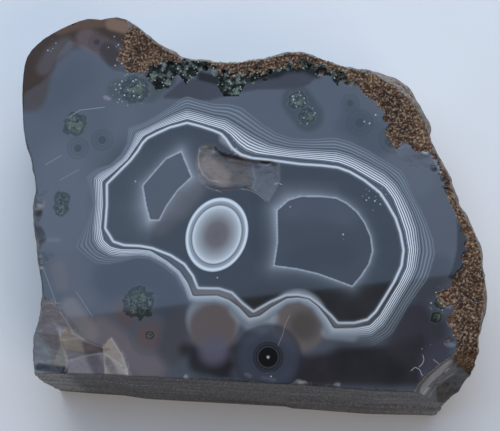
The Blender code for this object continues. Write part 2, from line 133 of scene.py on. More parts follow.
GREY_EDGE: Line = (
    (-34.9, -1.3), (-34.1, 2.0), (-34.8, 5.4), (-35.8, 7.9), (-33.4, 9.7), (-30.4, 10.5),
    (-28.0, 12.7), (-26.5, 15.5), (-26.3, 18.9), (-22.6, 20.1), (-19.3, 22.0), (-16.3, 23.9),
    (-14.8, 25.2), (-13.1, 25.8), (-10.2, 24.8), (-7.1, 24.0), (-3.7, 23.9), (-1.0, 23.1),
    (1.2, 21.4), (3.9, 19.1), (7.0, 17.1), (10.3, 15.9), (14.3, 15.6), (19.8, 15.9),
    (23.1, 14.9), (27.0, 12.9), (30.7, 10.5), (34.1, 8.3), (35.3, 6.3), (36.4, 3.2),
    (38.1, -0.1), (39.5, -3.4), (40.7, -6.9), (41.0, -10.0), (40.1, -13.0), (39.2, -15.5),
    (37.3, -18.0), (35.3, -20.8), (33.4, -24.0), (31.4, -27.2), (27.7, -29.5), (22.6, -30.0),
    (17.2, -29.5), (15.3, -25.8), (13.6, -22.8), (11.6, -21.5), (9.5, -21.7), (7.5, -23.2),
    (5.3, -24.5), (1.0, -26.0), (-2.1, -24.7), (-4.3, -22.3), (-6.7, -21.4), (-10.6, -21.6),
    (-12.8, -21.6), (-13.8, -17.7), (-15.4, -14.5), (-18.2, -12.2), (-21.2, -10.5), (-24.1, -10.2),
    (-27.4, -11.0), (-30.5, -11.6), (-33.2, -11.4), (-35.9, -9.5), (-37.8, -7.8), (-36.3, -4.5),
)

# How far the bright lines run together into a solid band, 0 to 1, at places along them

MERGED: tuple[tuple[float, float, float], ...] = (
    (-33.0, 1.0, 0.2), (-33.0, -4.0, 0.2), (-33.0, 6.0, 0.15), (-30.0, 9.5, 0.05), (-26.0, 13.0, 0.0),
    (-22.0, 18.0, 0.0), (-14.0, 22.0, 0.0), (-6.0, 19.5, 0.0), (2.0, 14.5, 0.1), (10.0, 12.5, 0.1),
    (20.0, 11.5, 0.0), (28.0, 8.0, 0.0), (34.0, 0.0, 0.0), (36.5, -9.0, 0.0), (33.0, -18.0, 0.0),
    (29.0, -25.0, 0.15), (23.0, -27.0, 0.9), (19.0, -26.5, 1.0), (15.0, -22.0, 1.0), (10.0, -20.0, 1.0),
    (5.0, -22.5, 1.0), (0.0, -23.5, 1.0), (-4.0, -20.0, 1.0), (-10.0, -19.5, 1.0), (-13.5, -14.0, 0.2),
    (-17.0, -11.0, 0.1), (-22.0, -9.0, 0.1), (-28.0, -9.0, 0.15), (-32.0, -7.0, 0.2),
)

# The angular cells inside the ribbon: corners, then the halo outside each corner as (reach, strength)

LEFT_CELL: Line = (
    (-14.4, 13.4), (-17.8, 11.8), (-20.0, 9.3), (-23.0, 5.8), (-22.2, 1.4), (-21.3, -1.9),
    (-19.2, -2.0), (-17.6, 1.2), (-15.1, 4.7), (-12.0, 7.6),
)
LEFT_HALO: Line = (
    (1.2, 0.5), (1.0, 0.3), (1.0, 0.3), (1.1, 0.35), (1.6, 0.6), (1.5, 0.6),
    (0.5, 0.2), (1.9, 0.24), (1.9, 0.24), (1.5, 0.45),
)
RIGHT_CELL: Line = (
    (6.9, -0.1), (9.5, 2.2), (12.2, 3.0), (16.4, 2.9), (19.9, 2.5), (22.2, 1.3),
    (24.5, -0.7), (26.1, -3.1), (27.3, -6.0), (27.7, -9.2), (26.9, -12.0), (25.2, -14.6),
    (23.2, -16.9), (20.1, -15.7), (15.8, -14.1), (11.2, -13.0), (6.2, -12.3), (7.0, -7.1),
)
RIGHT_HALO: Line = (
    (1.3, 0.62), (1.2, 0.55), (1.0, 0.42), (0.9, 0.36), (0.7, 0.33), (0.6, 0.3),
    (0.6, 0.3), (0.6, 0.3), (0.6, 0.3), (0.6, 0.3), (0.6, 0.3), (0.8, 0.3),
    (1.0, 0.3), (0.9, 0.3), (0.8, 0.3), (0.8, 0.34), (1.1, 0.4), (1.1, 0.42),
)

# The oval eye: centre, half width, half height, and how far its top leans to the right

EYE_CENTRE: Point = (-6.35, -5.3)
EYE_RADII: Point = (6.8, 8.4)
EYE_LEAN = math.radians(19.0)

# The round dark eye near the front

POOL_CENTRE: Point = (4.9, -32.1)

# Outlines of the host rock and of the broken places, which follow the solid

ROCK_PATCH: Line = (
    (-28.7, 34.3), (-28.3, 38.0), (-26.9, 40.6), (-24.0, 46.0), (-13.9, 35.0), (-16.4, 33.4),
    (-23.0, 31.8), (-26.7, 31.6),
)
ROCK_BAND: Line = (
    (-13.9, 35.0), (-10.3, 32.7), (-5.5, 30.3), (1.2, 29.4), (10.2, 32.3), (16.2, 31.3),
    (24.8, 27.3), (28.1, 24.5), (33.4, 16.3), (37.5, 12.9), (42.6, 6.8), (46.0, -2.0),
    (47.8, -7.8), (46.8, -13.1), (44.2, -16.0), (46.0, -20.0), (43.4, -24.0), (46.1, -30.0),
    (60.7, -30.0), (60.7, 51.0), (-13.9, 51.0),
)
FACE_CHIP: Line = (
    (-10.3, 14.1), (-8.8, 14.7), (-7.1, 14.4), (-5.7, 13.0), (-3.0, 12.2), (2.9, 10.9),
    (6.1, 10.8), (7.3, 10.0), (7.5, 6.7), (6.5, 4.4), (5.1, 2.1), (3.0, 3.9),
    (0.7, 5.1), (-3.3, 4.7), (-6.9, 4.7), (-9.1, 5.3), (-10.4, 7.0), (-10.9, 10.6),
)
FRONT_LEFT_CORNER: Line = (
    (-60.0, -19.0), (-42.6, -19.6), (-40.6, -22.2), (-38.0, -25.9), (-35.2, -28.3), (-31.2, -29.8),
    (-29.4, -27.8), (-26.4, -31.6), (-24.4, -37.6), (-60.0, -37.6),
)
FRONT_RIGHT_CORNER: Line = (
    (36.6, -39.6), (36.9, -38.0), (39.2, -35.5), (41.5, -33.6), (43.9, -32.0), (47.6, -30.6),
    (60.0, -30.6), (60.0, -60.0), (36.0, -60.0),
)
OVAL_CHIP: Line = (
    (42.4, -29.9), (44.0, -29.9), (45.7, -28.9), (45.6, -28.0), (44.0, -27.9), (42.6, -28.6),
)
LEFT_NOTCHES: Line = ((-60.0, 7.0), (-42.0, 7.0), (-42.0, -12.0), (-60.0, -12.0))

# Beside the rock: a smooth corner, rock past the broken corner, and pockets of dark crust

SMOOTH_CORNER: Line = (
    (34.9, 15.0), (37.5, 12.8), (40.5, 12.5), (41.7, 10.4), (43.4, 7.1), (44.0, 4.0),
    (42.4, 2.7), (39.3, 5.1), (35.0, 8.1), (33.1, 13.0),
)
CORNER_ROCK: Line = (
    (45.4, -28.5), (51.1, -27.6), (50.9, -34.0), (47.7, -35.3), (45.9, -34.0), (44.7, -32.1),
)
CRUST_POCKETS: tuple[Line, ...] = (
    ((-18.0, 25.0), (-8.3, 25.0), (-8.3, 35.0), (-18.0, 35.0)),
    ((-7.4, 24.0), (2.0, 24.0), (2.0, 32.0), (-7.4, 32.0)),
)
DARK_POCKET: Line = (
    (-21.6, 33.1), (-16.7, 33.9), (-13.7, 32.9), (-16.2, 29.7), (-17.5, 27.5), (-20.2, 27.3), (-22.1, 29.9),
)

# How far the dark crust runs out of the rock band's edge, and into it

CRUST_REACH = 0.5
CRUST_DEPTH = 0.9

# Where the polish is dull: the brown translucent rim at the back left, and a strip under the rock

DULL_RIM: Line = (
    (-60.0, 24.0), (-51.5, 25.5), (-49.8, 27.6), (-46.8, 29.4), (-43.4, 32.6), (-42.8, 35.9), (-40.3, 39.3),
    (-36.5, 37.8), (-33.6, 35.7), (-31.7, 33.5), (-30.1, 32.1), (-24.0, 31.0), (-20.0, 50.0), (-60.0, 50.0),
)
DULL_BAND: Line = (
    (-10.8, 33.8), (16.6, 33.2), (17.0, 28.6), (15.7, 29.8), (13.0, 30.9), (9.3, 30.8),
    (7.0, 29.7), (3.2, 29.3), (-1.0, 28.5), (-5.5, 28.1), (-10.7, 29.6),
)


@dataclass(frozen=True)
class ColourPatch:
    """A soft patch of colour: mostly a stain inside the stone, in a few places a painted shadow on it.

    Args:
        colour: sRGB hex of the patch.
        places: a point, a line of points, or the corners of a filled outline.
        core: how far from them the colour is full.
        fade: how far past the core it dies away.
        strength: how much of the colour beneath it hides.
        filled: whether the places enclose the patch.
    """

    colour: str
    places: Line
    core: float
    fade: float
    strength: float = 1.0
    filled: bool = False


# Colours in the stone, from the broad zones to the small ones, painted in this order; the few painted
# shadows among them are marked

BODY_COLOUR = "4a4e55"
STAINS_AND_PAINTED_SHADE: tuple[ColourPatch, ...] = (
    ColourPatch("3e434a", ((-45.6, 25.7), (-42.2, 28.4), (-38.1, 32.0)), 1.3, 5.7, 0.7),
    ColourPatch("565b62", ((-41.3, 10.7), (-41.5, -4.0), (-37.5, 2.7)), 2.6, 6.5, 0.8),
    ColourPatch("52575e", ((-27.2, 21.2), (-28.7, 13.9)), 1.3, 4.3, 0.7),
    ColourPatch("53555c", ((-39.1, -11.8), (-34.5, -17.4)), 1.7, 4.3, 0.7),
    ColourPatch("3b424b", ((-30.0, -15.2), (-21.1, -14.1), (-16.6, -19.6)), 2.2, 4.3, 0.8),
    ColourPatch("6a6163", ((-32.1, -26.6), (-26.4, -31.0), (-20.9, -34.0)), 1.7, 3.5, 0.85),
    ColourPatch("7a726f", ((-38.9, -20.9), (-36.1, -24.4), (-34.3, -27.0)), 0.9, 2.0, 0.65),
    ColourPatch("6b605d", ((-40.8, -16.2), (-41.7, -12.4)), 0.7, 1.7, 0.45),
    ColourPatch("5e4744", ((-26.1, -23.5), (-27.2, -21.4)), 0.9, 2.0, 0.6),
    ColourPatch("504f54", ((-21.0, -27.3),), 4.3, 0.7, 0.5),
    ColourPatch("5e4a48", ((-21.0, -27.3),), 1.7, 2.2, 0.7),
    ColourPatch("434246", ((-14.4, -23.6), (-16.1, -30.5)), 1.7, 3.0, 0.8),
    ColourPatch("2a272b", (
        (-13.2, -30.5), (-8.8, -31.8), (-2.3, -35.9), (11.8, -37.0), (28.9, -37.0), (36.3, -37.0),
        (37.5, -28.5), (32.2, -30.6), (22.6, -31.6), (13.9, -33.1), (-1.2, -30.5), (-7.7, -30.5),
    ), 0.0, 2.6, 1.0, True),
    ColourPatch("1d1c20", ((21.5, -33.1), (31.1, -34.4)), 1.7, 3.5, 0.9),
    ColourPatch("222125", ((-9.9, -33.1), (-5.1, -34.2)), 1.5, 2.2, 0.9),
    ColourPatch("3d3f48", ((-1.2, -35.9), (8.5, -35.7)), 0.9, 2.2, 0.8),
    ColourPatch("4b4d53", ((43.3, -7.0), (42.4, 1.8)), 1.7, 3.5, 0.8),
    ColourPatch("53565c", ((38.2, 6.2), (34.0, 11.9)), 1.7, 3.5, 0.8),
    ColourPatch("3a4146", ((29.6, 15.3), (23.1, 19.9)), 1.7, 3.5, 0.8),
    ColourPatch("4a5058", ((18.7, 21.7), (5.4, 24.3), (-1.3, 25.5)), 1.3, 2.6, 0.7),
    ColourPatch("2d3335", ((11.5, 24.4), (13.9, 20.9)), 2.6, 1.7, 0.85),
    ColourPatch("3a3b40", ((42.1, -13.0), (38.8, -17.8)), 1.3, 3.0, 0.8),
    ColourPatch("2d2a2f", ((39.7, -26.3), (34.3, -29.5), (36.6, -24.2)), 2.2, 3.5, 0.85),
    ColourPatch("393740", ((41.3, -31.0), (39.6, -33.1)), 1.3, 2.6, 0.8),
    ColourPatch("201f22", (
        (46.1, -2.4), (47.8, -5.5), (47.7, -10.0), (46.8, -13.1), (45.2, -15.6), (44.0, -15.0),
        (45.0, -13.0), (46.0, -9.2), (46.2, -4.6),
    ), 0.0, 0.4, 0.95, True),
    ColourPatch("2c2529", (
        (-18.2, 25.9), (-8.2, 25.2), (-2.8, 26.7), (2.8, 27.5), (9.2, 27.5), (12.8, 27.9), (13.9, 28.4),
        (15.7, 30.0), (13.0, 31.2), (7.0, 29.9), (-1.0, 28.7), (-5.5, 28.4), (-10.3, 29.6), (-13.7, 29.7),
    ), 0.0, 0.7, 0.95, True),
    # Painted shadow: a near-black line along the front edge of the host rock band, on the polish in front
    # of it
    ColourPatch("141214", (
        (-10.3, 30.5), (-5.5, 29.1), (-1.0, 29.2), (3.2, 30.0), (7.0, 30.4), (9.3, 31.5), (13.1, 31.6),
        (15.7, 30.4),
    ), 0.7, 0.7, 0.95),
    ColourPatch("383c37", ((-28.9, 27.7), (-21.6, 27.1), (-19.3, 29.3)), 1.5, 1.7, 0.8),
    ColourPatch("1d1e1c", ((-21.2, 31.2), (-17.5, 29.8)), 1.1, 1.3, 0.9),
    ColourPatch("3d2f27", (
        (-49.1, 26.9), (-47.4, 35.0), (-42.4, 40.1), (-35.6, 42.5), (-29.1, 43.0), (-24.0, 39.6),
    ), 3.0, 1.7),
    ColourPatch("514b4c", ((-46.0, 33.1), (-44.2, 36.4), (-41.0, 38.6)), 0.9, 1.7, 0.85),
    ColourPatch("5f5050", ((-36.4, 39.9), (-33.2, 38.0)), 1.5, 1.7, 0.9),
    ColourPatch("3a2e2e", ((-31.3, 37.0), (-29.9, 35.1)), 1.3, 1.3, 0.9),
    ColourPatch("5c4638", ((-42.5, 42.0), (-38.3, 43.3), (-32.3, 43.6)), 0.7, 1.1, 0.9),
    ColourPatch("7a6250", ((-30.5, 43.1), (-26.8, 42.0)), 0.9, 1.1, 0.9),
    ColourPatch("282b2f", RIBBON, 0.0, 0.2, 1.0, True),
    ColourPatch("35393d", ((-26.4, 10.5), (-28.5, 2.6), (-26.1, -5.2)), 2.6, 5.7, 0.85),
    ColourPatch("4a4f54", LEFT_CELL, 0.0, 0.2, 0.9, True),
    ColourPatch("4b4648", ((-19.0, -2.4), (-14.6, 1.1), (-11.5, 5.1)), 1.1, 3.0, 0.85),
    ColourPatch("1c1f22", ((3.6, 2.3), (3.8, -4.0), (3.6, -8.8)), 1.1, 2.6, 0.8),
    ColourPatch("323338", RIGHT_CELL, 0.0, 0.2, 0.9, True),
    ColourPatch("3f4148", ((9.8, 0.6), (16.4, 1.0), (21.8, -0.6)), 1.3, 3.5, 0.7),
    ColourPatch("26272b", ((20.2, -10.0), (11.9, -11.5)), 1.3, 3.5, 0.6),
    ColourPatch("38373b", ((8.7, 4.4), (18.6, 4.5)), 0.9, 1.7, 0.7),
    ColourPatch("262527", (
        (3.6, -16.9), (11.9, -17.6), (23.1, -19.4), (30.9, -16.6), (29.6, -19.9), (25.9, -23.1),
        (21.6, -23.7), (17.3, -20.2), (11.4, -18.5), (6.4, -20.6), (2.1, -22.3), (-1.2, -19.7),
    ), 0.0, 2.2, 0.95, True),
    ColourPatch("7b8286", ((-7.1, -23.8),), 5.2, 1.3, 0.9),
    ColourPatch("5e5552", ((-7.1, -25.6),), 4.3, 2.0),
    ColourPatch("585662", ((-6.9, -30.5),), 1.7, 3.0, 0.85),
    ColourPatch("8a9196", ((11.4, -23.7),), 5.4, 1.3, 0.9),
    ColourPatch("635b57", ((11.6, -25.2),), 4.8, 2.0),
    ColourPatch("48413e", ((12.7, -25.4),), 1.7, 3.0, 0.8),
    ColourPatch("8c9499", ((-1.6, -21.9), (1.2, -24.5), (3.6, -25.4), (5.3, -23.7)), 0.7, 2.0, 0.7),
    ColourPatch("8f979c", ((17.9, -26.7), (20.5, -26.9), (23.0, -27.2)), 0.4, 1.7, 0.8),
    ColourPatch("3a3b44", ((-1.2, -32.1), (9.6, -31.0)), 0.9, 2.2, 0.6),
    ColourPatch("524b48", FACE_CHIP, 0.0, 0.4, 1.0, True),
    ColourPatch("50545a", (
        (0.5, 11.2), (7.4, 10.2), (7.4, 6.7), (6.5, 4.4), (5.0, 2.0), (1.9, 4.5),
    ), 0.0, 0.4, 0.9, True),
    # Painted shade: dark lines along the front lip of the chip in the face, and a near-black spot for the
    # small hole at its back edge
    ColourPatch("1f1e1f", ((-8.8, 5.9), (-6.6, 5.3), (-4.3, 5.1), (-1.2, 5.7)), 0.1, 0.3, 0.7),
    ColourPatch("2c2a2b", ((-9.2, 5.5), (-4.8, 4.8), (1.0, 5.2)), 0.2, 0.5, 0.8),
    ColourPatch("1b1d20", ((3.2, 11.0), (4.5, 10.6), (5.6, 10.9)), 0.2, 0.3, 0.9),
    ColourPatch("2b2f36", ((-8.4, 12.3), (-5.3, 12.7), (0.1, 11.6)), 0.3, 0.5, 0.8),
    ColourPatch("7a6c62", ((-8.6, 10.7), (-6.8, 9.1), (-5.2, 7.5)), 1.1, 1.5, 0.9),
    ColourPatch("5e615c", ((-9.3, 13.6), (-7.5, 13.8)), 0.7, 0.7, 0.9),
    ColourPatch("837f78", ((-4.4, 16.3), (-1.7, 14.4), (0.5, 12.8)), 0.9, 1.1, 0.8),
    ColourPatch("706a6c", FRONT_LEFT_CORNER, 0.0, 0.2, 1.0, True),
    ColourPatch("867a6f", (
        (-39.7, -25.3), (-38.1, -26.4), (-34.9, -28.8), (-31.8, -29.9), (-31.8, -30.5), (-35.5, -30.9),
        (-40.9, -30.1), (-41.4, -27.4),
    ), 0.0, 0.2, 1.0, True),
    ColourPatch("564e50", (
        (-35.6, -29.0), (-31.8, -29.9), (-31.5, -31.0), (-35.1, -31.4),
    ), 0.0, 0.9, 0.9, True),
    ColourPatch("807c80", (
        (-39.5, -32.9), (-35.1, -31.8), (-31.5, -31.2), (-31.0, -35.5), (-39.9, -35.5),
    ), 0.0, 0.2, 1.0, True),
    ColourPatch("4a4248", ((-33.7, -32.3), (-32.4, -34.9)), 0.7, 1.7, 0.7),
    ColourPatch("827e74", (
        (-40.9, -29.2), (-39.8, -30.9), (-39.3, -33.1), (-40.1, -35.1), (-43.0, -34.4), (-41.8, -30.9),
    ), 0.0, 0.2, 1.0, True),
    ColourPatch("6f7476", (
        (-46.9, -25.0), (-45.0, -28.3), (-43.6, -30.9), (-44.4, -35.5), (-46.8, -35.5),
    ), 0.0, 0.7, 0.9, True),
    # Painted shadow: a dark line along the front of the broken corner's facets, where they meet the sawn
    # face
    ColourPatch("1c1a15", ((-46.2, -34.2), (-40.4, -34.9)), 0.5, 0.8),
    ColourPatch("9a8f84", (
        (-31.3, -29.9), (-29.6, -27.9), (-27.1, -31.6), (-25.7, -35.7), (-31.0, -35.5),
    ), 0.0, 0.2, 1.0, True),
    ColourPatch("5c5856", ((-30.4, -33.1), (-29.0, -35.1)), 0.4, 1.1, 0.7),
    ColourPatch("2e2d30", FRONT_RIGHT_CORNER, 0.0, 0.2, 1.0, True),
    ColourPatch("85878a", ((38.2, -39.3), (40.3, -36.7), (43.8, -33.6)), 0.4, 0.8, 0.85),
    ColourPatch("978d8c", ((-31.8, 26.1), (-30.9, 25.7)), 0.2, 0.4, 0.55),
    ColourPatch("9a9a98", ((-13.0, -36.4),), 0.3, 0.4, 0.7),
    ColourPatch("9a9a98", ((11.3, -37.4), (12.6, -37.6)), 0.2, 0.4, 0.7),
    ColourPatch("8f8b86", ((-47.3, 0.8), (-45.5, 1.9)), 0.2, 0.3, 0.8),
    ColourPatch("2a2625", ((-46.6, -0.5), (-45.9, 0.4)), 0.3, 0.3, 0.9),
    ColourPatch("2a2625", ((-46.4, -6.6), (-44.8, -6.2)), 0.2, 0.3, 0.9),
    ColourPatch("7a8087", ((-44.2, -6.2), (-41.7, -6.2)), 0.2, 0.5, 0.3),
    ColourPatch("9a9a98", ((3.6, -36.3), (6.4, -37.0)), 0.2, 0.3, 0.6),
    ColourPatch("a0a09e", ((0.1, -35.7), (1.0, -36.1)), 0.2, 0.3, 0.6),
    ColourPatch("8c8c8b", ((19.9, -38.0),), 0.3, 0.4, 0.6),
    ColourPatch("242223", ((42.8, -37.8), (45.0, -35.3), (46.3, -34.0)), 1.1, 1.3, 0.85),
)

# Eyes and dendrites: (x, y, radius)

MOSSES: tuple[tuple[float, float, float], ...] = (
    (-23.5, -20.3, 3.7), (-38.6, 20.0, 2.83), (-41.2, 2.8, 1.96), (-41.4, 0.8, 1.74), (11.5, 24.6, 2.17),
    (13.6, 20.9, 1.96), (-25.0, 27.6, 3.26), (-21.0, -27.3, 0.98), (32.5, 15.4, 1.74),
    (42.2, -20.6, 1.52), (41.0, -23.6, 1.3),
)
RINGS: tuple[tuple[float, float, float], ...] = (
    (-32.3, 16.3, 2.39), (-37.8, 14.5, 2.39), (-33.9, 38.9, 1.96), (23.2, 23.7, 1.96), (25.3, 19.2, 2.83),
    (32.6, 15.4, 3.04),
)

# Healed cracks, scratches, and painted glints (highlights) along broken edges: (strength, points)

HAIRS_AND_GLINTS: tuple[tuple[float, Line], ...] = (
    (0.55, ((-10.3, 14.1), (-10.6, 11.9), (-10.4, 10.0), (-9.5, 8.2), (-8.1, 6.9), (-6.1, 6.6))),
    (0.5, ((-10.0, 14.3), (-8.4, 14.6), (-7.3, 14.3), (-7.2, 13.3))),
    (0.3, ((-8.6, 5.3), (-7.0, 4.6), (-5.2, 4.1))),
    (0.3, ((-1.5, 4.8), (0.8, 4.5), (2.7, 3.6), (4.3, 2.2))),
    (0.45, ((2.8, 11.0), (3.4, 10.2), (5.0, 10.1), (6.1, 10.9))),
    (0.25, ((1.5, 10.1), (2.1, 6.7), (1.2, 4.5))),
    (0.8, ((6.5, 5.8), (7.4, 6.0), (8.0, 5.6))),
    (1, ((37.0, 12.9), (38.5, 12.7), (40.5, 12.2), (41.5, 10.6), (42.3, 8.6), (43.2, 6.8))),
    (0.7, ((38.1, -31.7), (38.3, -32.7), (37.9, -33.6), (37.2, -34.2))),
    (0.7, ((35.5, -35.0), (36.4, -34.2), (37.4, -34.8), (37.8, -35.9))),
    (0.5, ((40.4, -32.7), (41.5, -33.6))),
    (0.35, ((-46.4, -8.4), (-45.1, -12.4), (-43.5, -16.4), (-42.0, -20.2))),
    (0.3, ((-37.4, -17.9), (-35.5, -20.7), (-33.7, -23.3))),
    (0.5, ((-40.2, 21.5), (-37.5, 23.2), (-31.8, 23.8))),
    (0.35, ((-45.2, 10.8), (-41.4, 13.0))),
    (0.3, ((-41.7, 7.3), (-37.7, 9.5))),
    (0.3, ((9.7, -23.0), (8.6, -25.0), (8.1, -27.3), (7.1, -29.5))),
    (0.7, ((-38.3, -26.8), (-35.4, -28.4), (-32.7, -29.6), (-31.3, -29.9))),
    (0.7, ((38.2, -39.9), (39.5, -38.4), (41.0, -36.9), (43.8, -34.6))),
    (0.4, ((39.6, -40.5), (41.6, -38.2), (44.8, -35.7))),
    (0.4, ((37.6, -38.6), (39.1, -36.7), (41.7, -34.4), (44.2, -32.7))),
    (0.3, ((-44.7, -20.2), (-40.9, -20.2))),
    (0.7, ((-40.9, -22.2), (-39.7, -24.2), (-38.3, -26.4))),
    (0.35, ((-41.4, -28.4), (-36.9, -28.0))),
    (0.45, ((-39.1, -32.8), (-35.5, -31.8), (-32.0, -31.2))),
    (0.5, ((-41.2, -26.1), (-40.9, -29.2), (-39.5, -33.1), (-40.1, -35.1))),
    (0.5, ((-31.3, -29.9), (-31.2, -32.7), (-31.0, -35.5))),
    (0.7, ((-29.6, -27.9), (-27.1, -31.6), (-25.7, -35.7))),
    (0.8, ((-30.9, -31.4), (-28.8, -32.9), (-27.1, -34.0))),
)

# Half width and point spacing of a hair line, and its half width on the broken faces, where the lines are
# healed cracks and painted glints

HAIR_HALF_WIDTH = 0.13
HAIR_STEP = 0.3
BROKEN_LINE_HALF_WIDTH = 0.3

# Clusters of small light crystals: (x, y, radius)

CRYSTALS: tuple[tuple[float, float, float], ...] = (
    (28.4, 2.4, 3.04), (21.3, -5.7, 1.09), (9.6, -0.3, 1.3), (-6.1, -14.9, 0.65), (-25.0, 6.9, 0.65),
    (11.5, 24.6, 2.61), (13.6, 20.9, 2.61), (-26.1, 27.6, 4.78), (26.9, 18.9, 1.3), (28.6, 20.7, 0.87),
    (33.4, 15.7, 1.09), (-2.4, 14.4, 2.17), (-30.2, 38.6, 2.39), (-44.7, 38.3, 1.96), (-28.5, 33.7, 1.74),
    (42.0, -19.9, 3.04), (39.2, -30.6, 1.52), (5.5, -35.5, 1.09),
)

# How finely the mesh is drawn

FACE_STEP = 0.42
FACE_MARGIN = 0.2
ROUGH_STEP = 1.0
ROUGH_PASSES = 6
BROKEN_STEP = 0.4

# Easing of the natural surfaces: how often, and how much of the way each time

EASE_PASSES = 3
EASE_SHARE = 0.5

# How upright a normal is where the surface faces up or down

FACING = 0.45

# Where one kind of surface gives way to another: heights, sides and how far their borders wander

FINE_FLOOR = 12.0
CHIP_FLOOR = 10.0
HIGH = 19.0
CHIP_LIP = 0.6
FRONT = -30.0
SAWN_END = 43.0
SAWN_FACING = -0.55
CORNER_FACING = 0.1
CORNER_FLOOR = 5.0
CORNER_FRONT = -29.0
CORNER_HALF_WIDTH = 5.0
ROCK_LEFT = 4.0
FRINGE_FRONT = 25.0
FRINGE_RIGHT = 24.0
WANDER_SIZE = 1.6
WANDER_SEED = 7
ROCK_STRAY = 0.9
FRINGE_STRAY = 2.4

# The flat layout of the surface: shares of its side for each millimetre, and where the parts start

FACE_SCALE = 0.0081
BASE_SCALE = 0.0012
SIDE_SCALE = 0.0044
MAP_CORNER = (-53.0, -46.0)
MAP_EDGE = 0.005
BASE_LEFT = 0.87
BASE_HEIGHT = 1.0
SIDE_LEFT = 0.015
SIDE_WIDTH = 0.83
SIDE_FOOT = 0.765
STRIP_RISE = 0.118


def linear(code: str) -> tuple[float, float, float]:
    """Turn an sRGB hex colour into linear red, green and blue.

    Args:
        code: six hex digits.

    Returns:
        The three linear values.
    """
    parts = [int(code[i : i + 2], 16) / 255.0 for i in (0, 2, 4)]
    return tuple(p / 12.92 if p <= 0.04045 else ((p + 0.055) / 1.055) ** 2.4 for p in parts)


def rounded(corners: Line, cut: float = 0.5) -> np.ndarray:
    """Round the corners of a closed outline.

    Args:
        corners: the outline's corners.
        cut: how far from a corner the rounding starts.

    Returns:
        The points of the rounded outline.
    """
    knots = np.array(corners, float)
    sides = []
    for shift in (1, -1):
        step = np.roll(knots, shift, axis=0) - knots
        length = np.linalg.norm(step, axis=1, keepdims=True)
        sides.append(knots + step * np.minimum(cut / length, 0.45))
    loop = np.stack([sides[0], knots, sides[1]], axis=1).reshape(-1, 2)
    for _ in range(2):
        following = np.roll(loop, -1, axis=0)
        loop = np.stack([0.75 * loop + 0.25 * following, 0.25 * loop + 0.75 * following], axis=1)
        loop = loop.reshape(-1, 2)
    return loop


def distance_to(points: np.ndarray, line: np.ndarray, closed: bool) -> tuple[np.ndarray, np.ndarray]:
    """Measure how far points lie from a line.

    Args:
        points: the points, one in each row.
        line: the line's points in order.
        closed: whether the last point joins the first.

    Returns:
        Each point's distance, and the nearest place on the line as the index of its stretch
        plus the share of the way along it.
    """
    best = np.full(len(points), np.inf)
    nearest = np.zeros(len(points))
    count = len(line) if closed else max(len(line) - 1, 1)
    for index in range(count):
        start = line[index]
        span = line[(index + 1) % len(line)] - start
        share = np.clip((points - start) @ span / max(span @ span, TINY), 0.0, 1.0)
        gap = np.linalg.norm(points - start - share[:, None] * span, axis=1)
        closer = gap < best
        best[closer] = gap[closer]
        nearest[closer] = index + share[closer]
    return best, nearest


def inside(points: np.ndarray, loop: np.ndarray) -> np.ndarray:
    """Tell which points a closed outline holds.

    Args:
        points: the points, one in each row.
        loop: the outline's points in order.

    Returns:
        True for each point inside.
    """
    found = np.zeros(len(points), bool)
    x, y = points.T
    for start, end in zip(loop, np.roll(loop, -1, axis=0)):
        rise = end[1] - start[1]
        if rise == 0.0:
            continue
        crossing = (start[1] > y) != (end[1] > y)
        found ^= crossing & (x < start[0] + (y - start[1]) * (end[0] - start[0]) / rise)
    return found


def signed_distance(points: np.ndarray, loop: np.ndarray) -> np.ndarray:
    """Measure how far points lie outside a closed outline, as less than nothing inside it."""
    gap, _ = distance_to(points, loop, closed=True)
    return np.where(inside(points, loop), -gap, gap)


def smooth_share(value: np.ndarray) -> np.ndarray:
    """Ease values from 0 to 1 and hold them there beyond."""
    held = np.clip(value, 0.0, 1.0)
    return held * held * (3.0 - 2.0 * held)


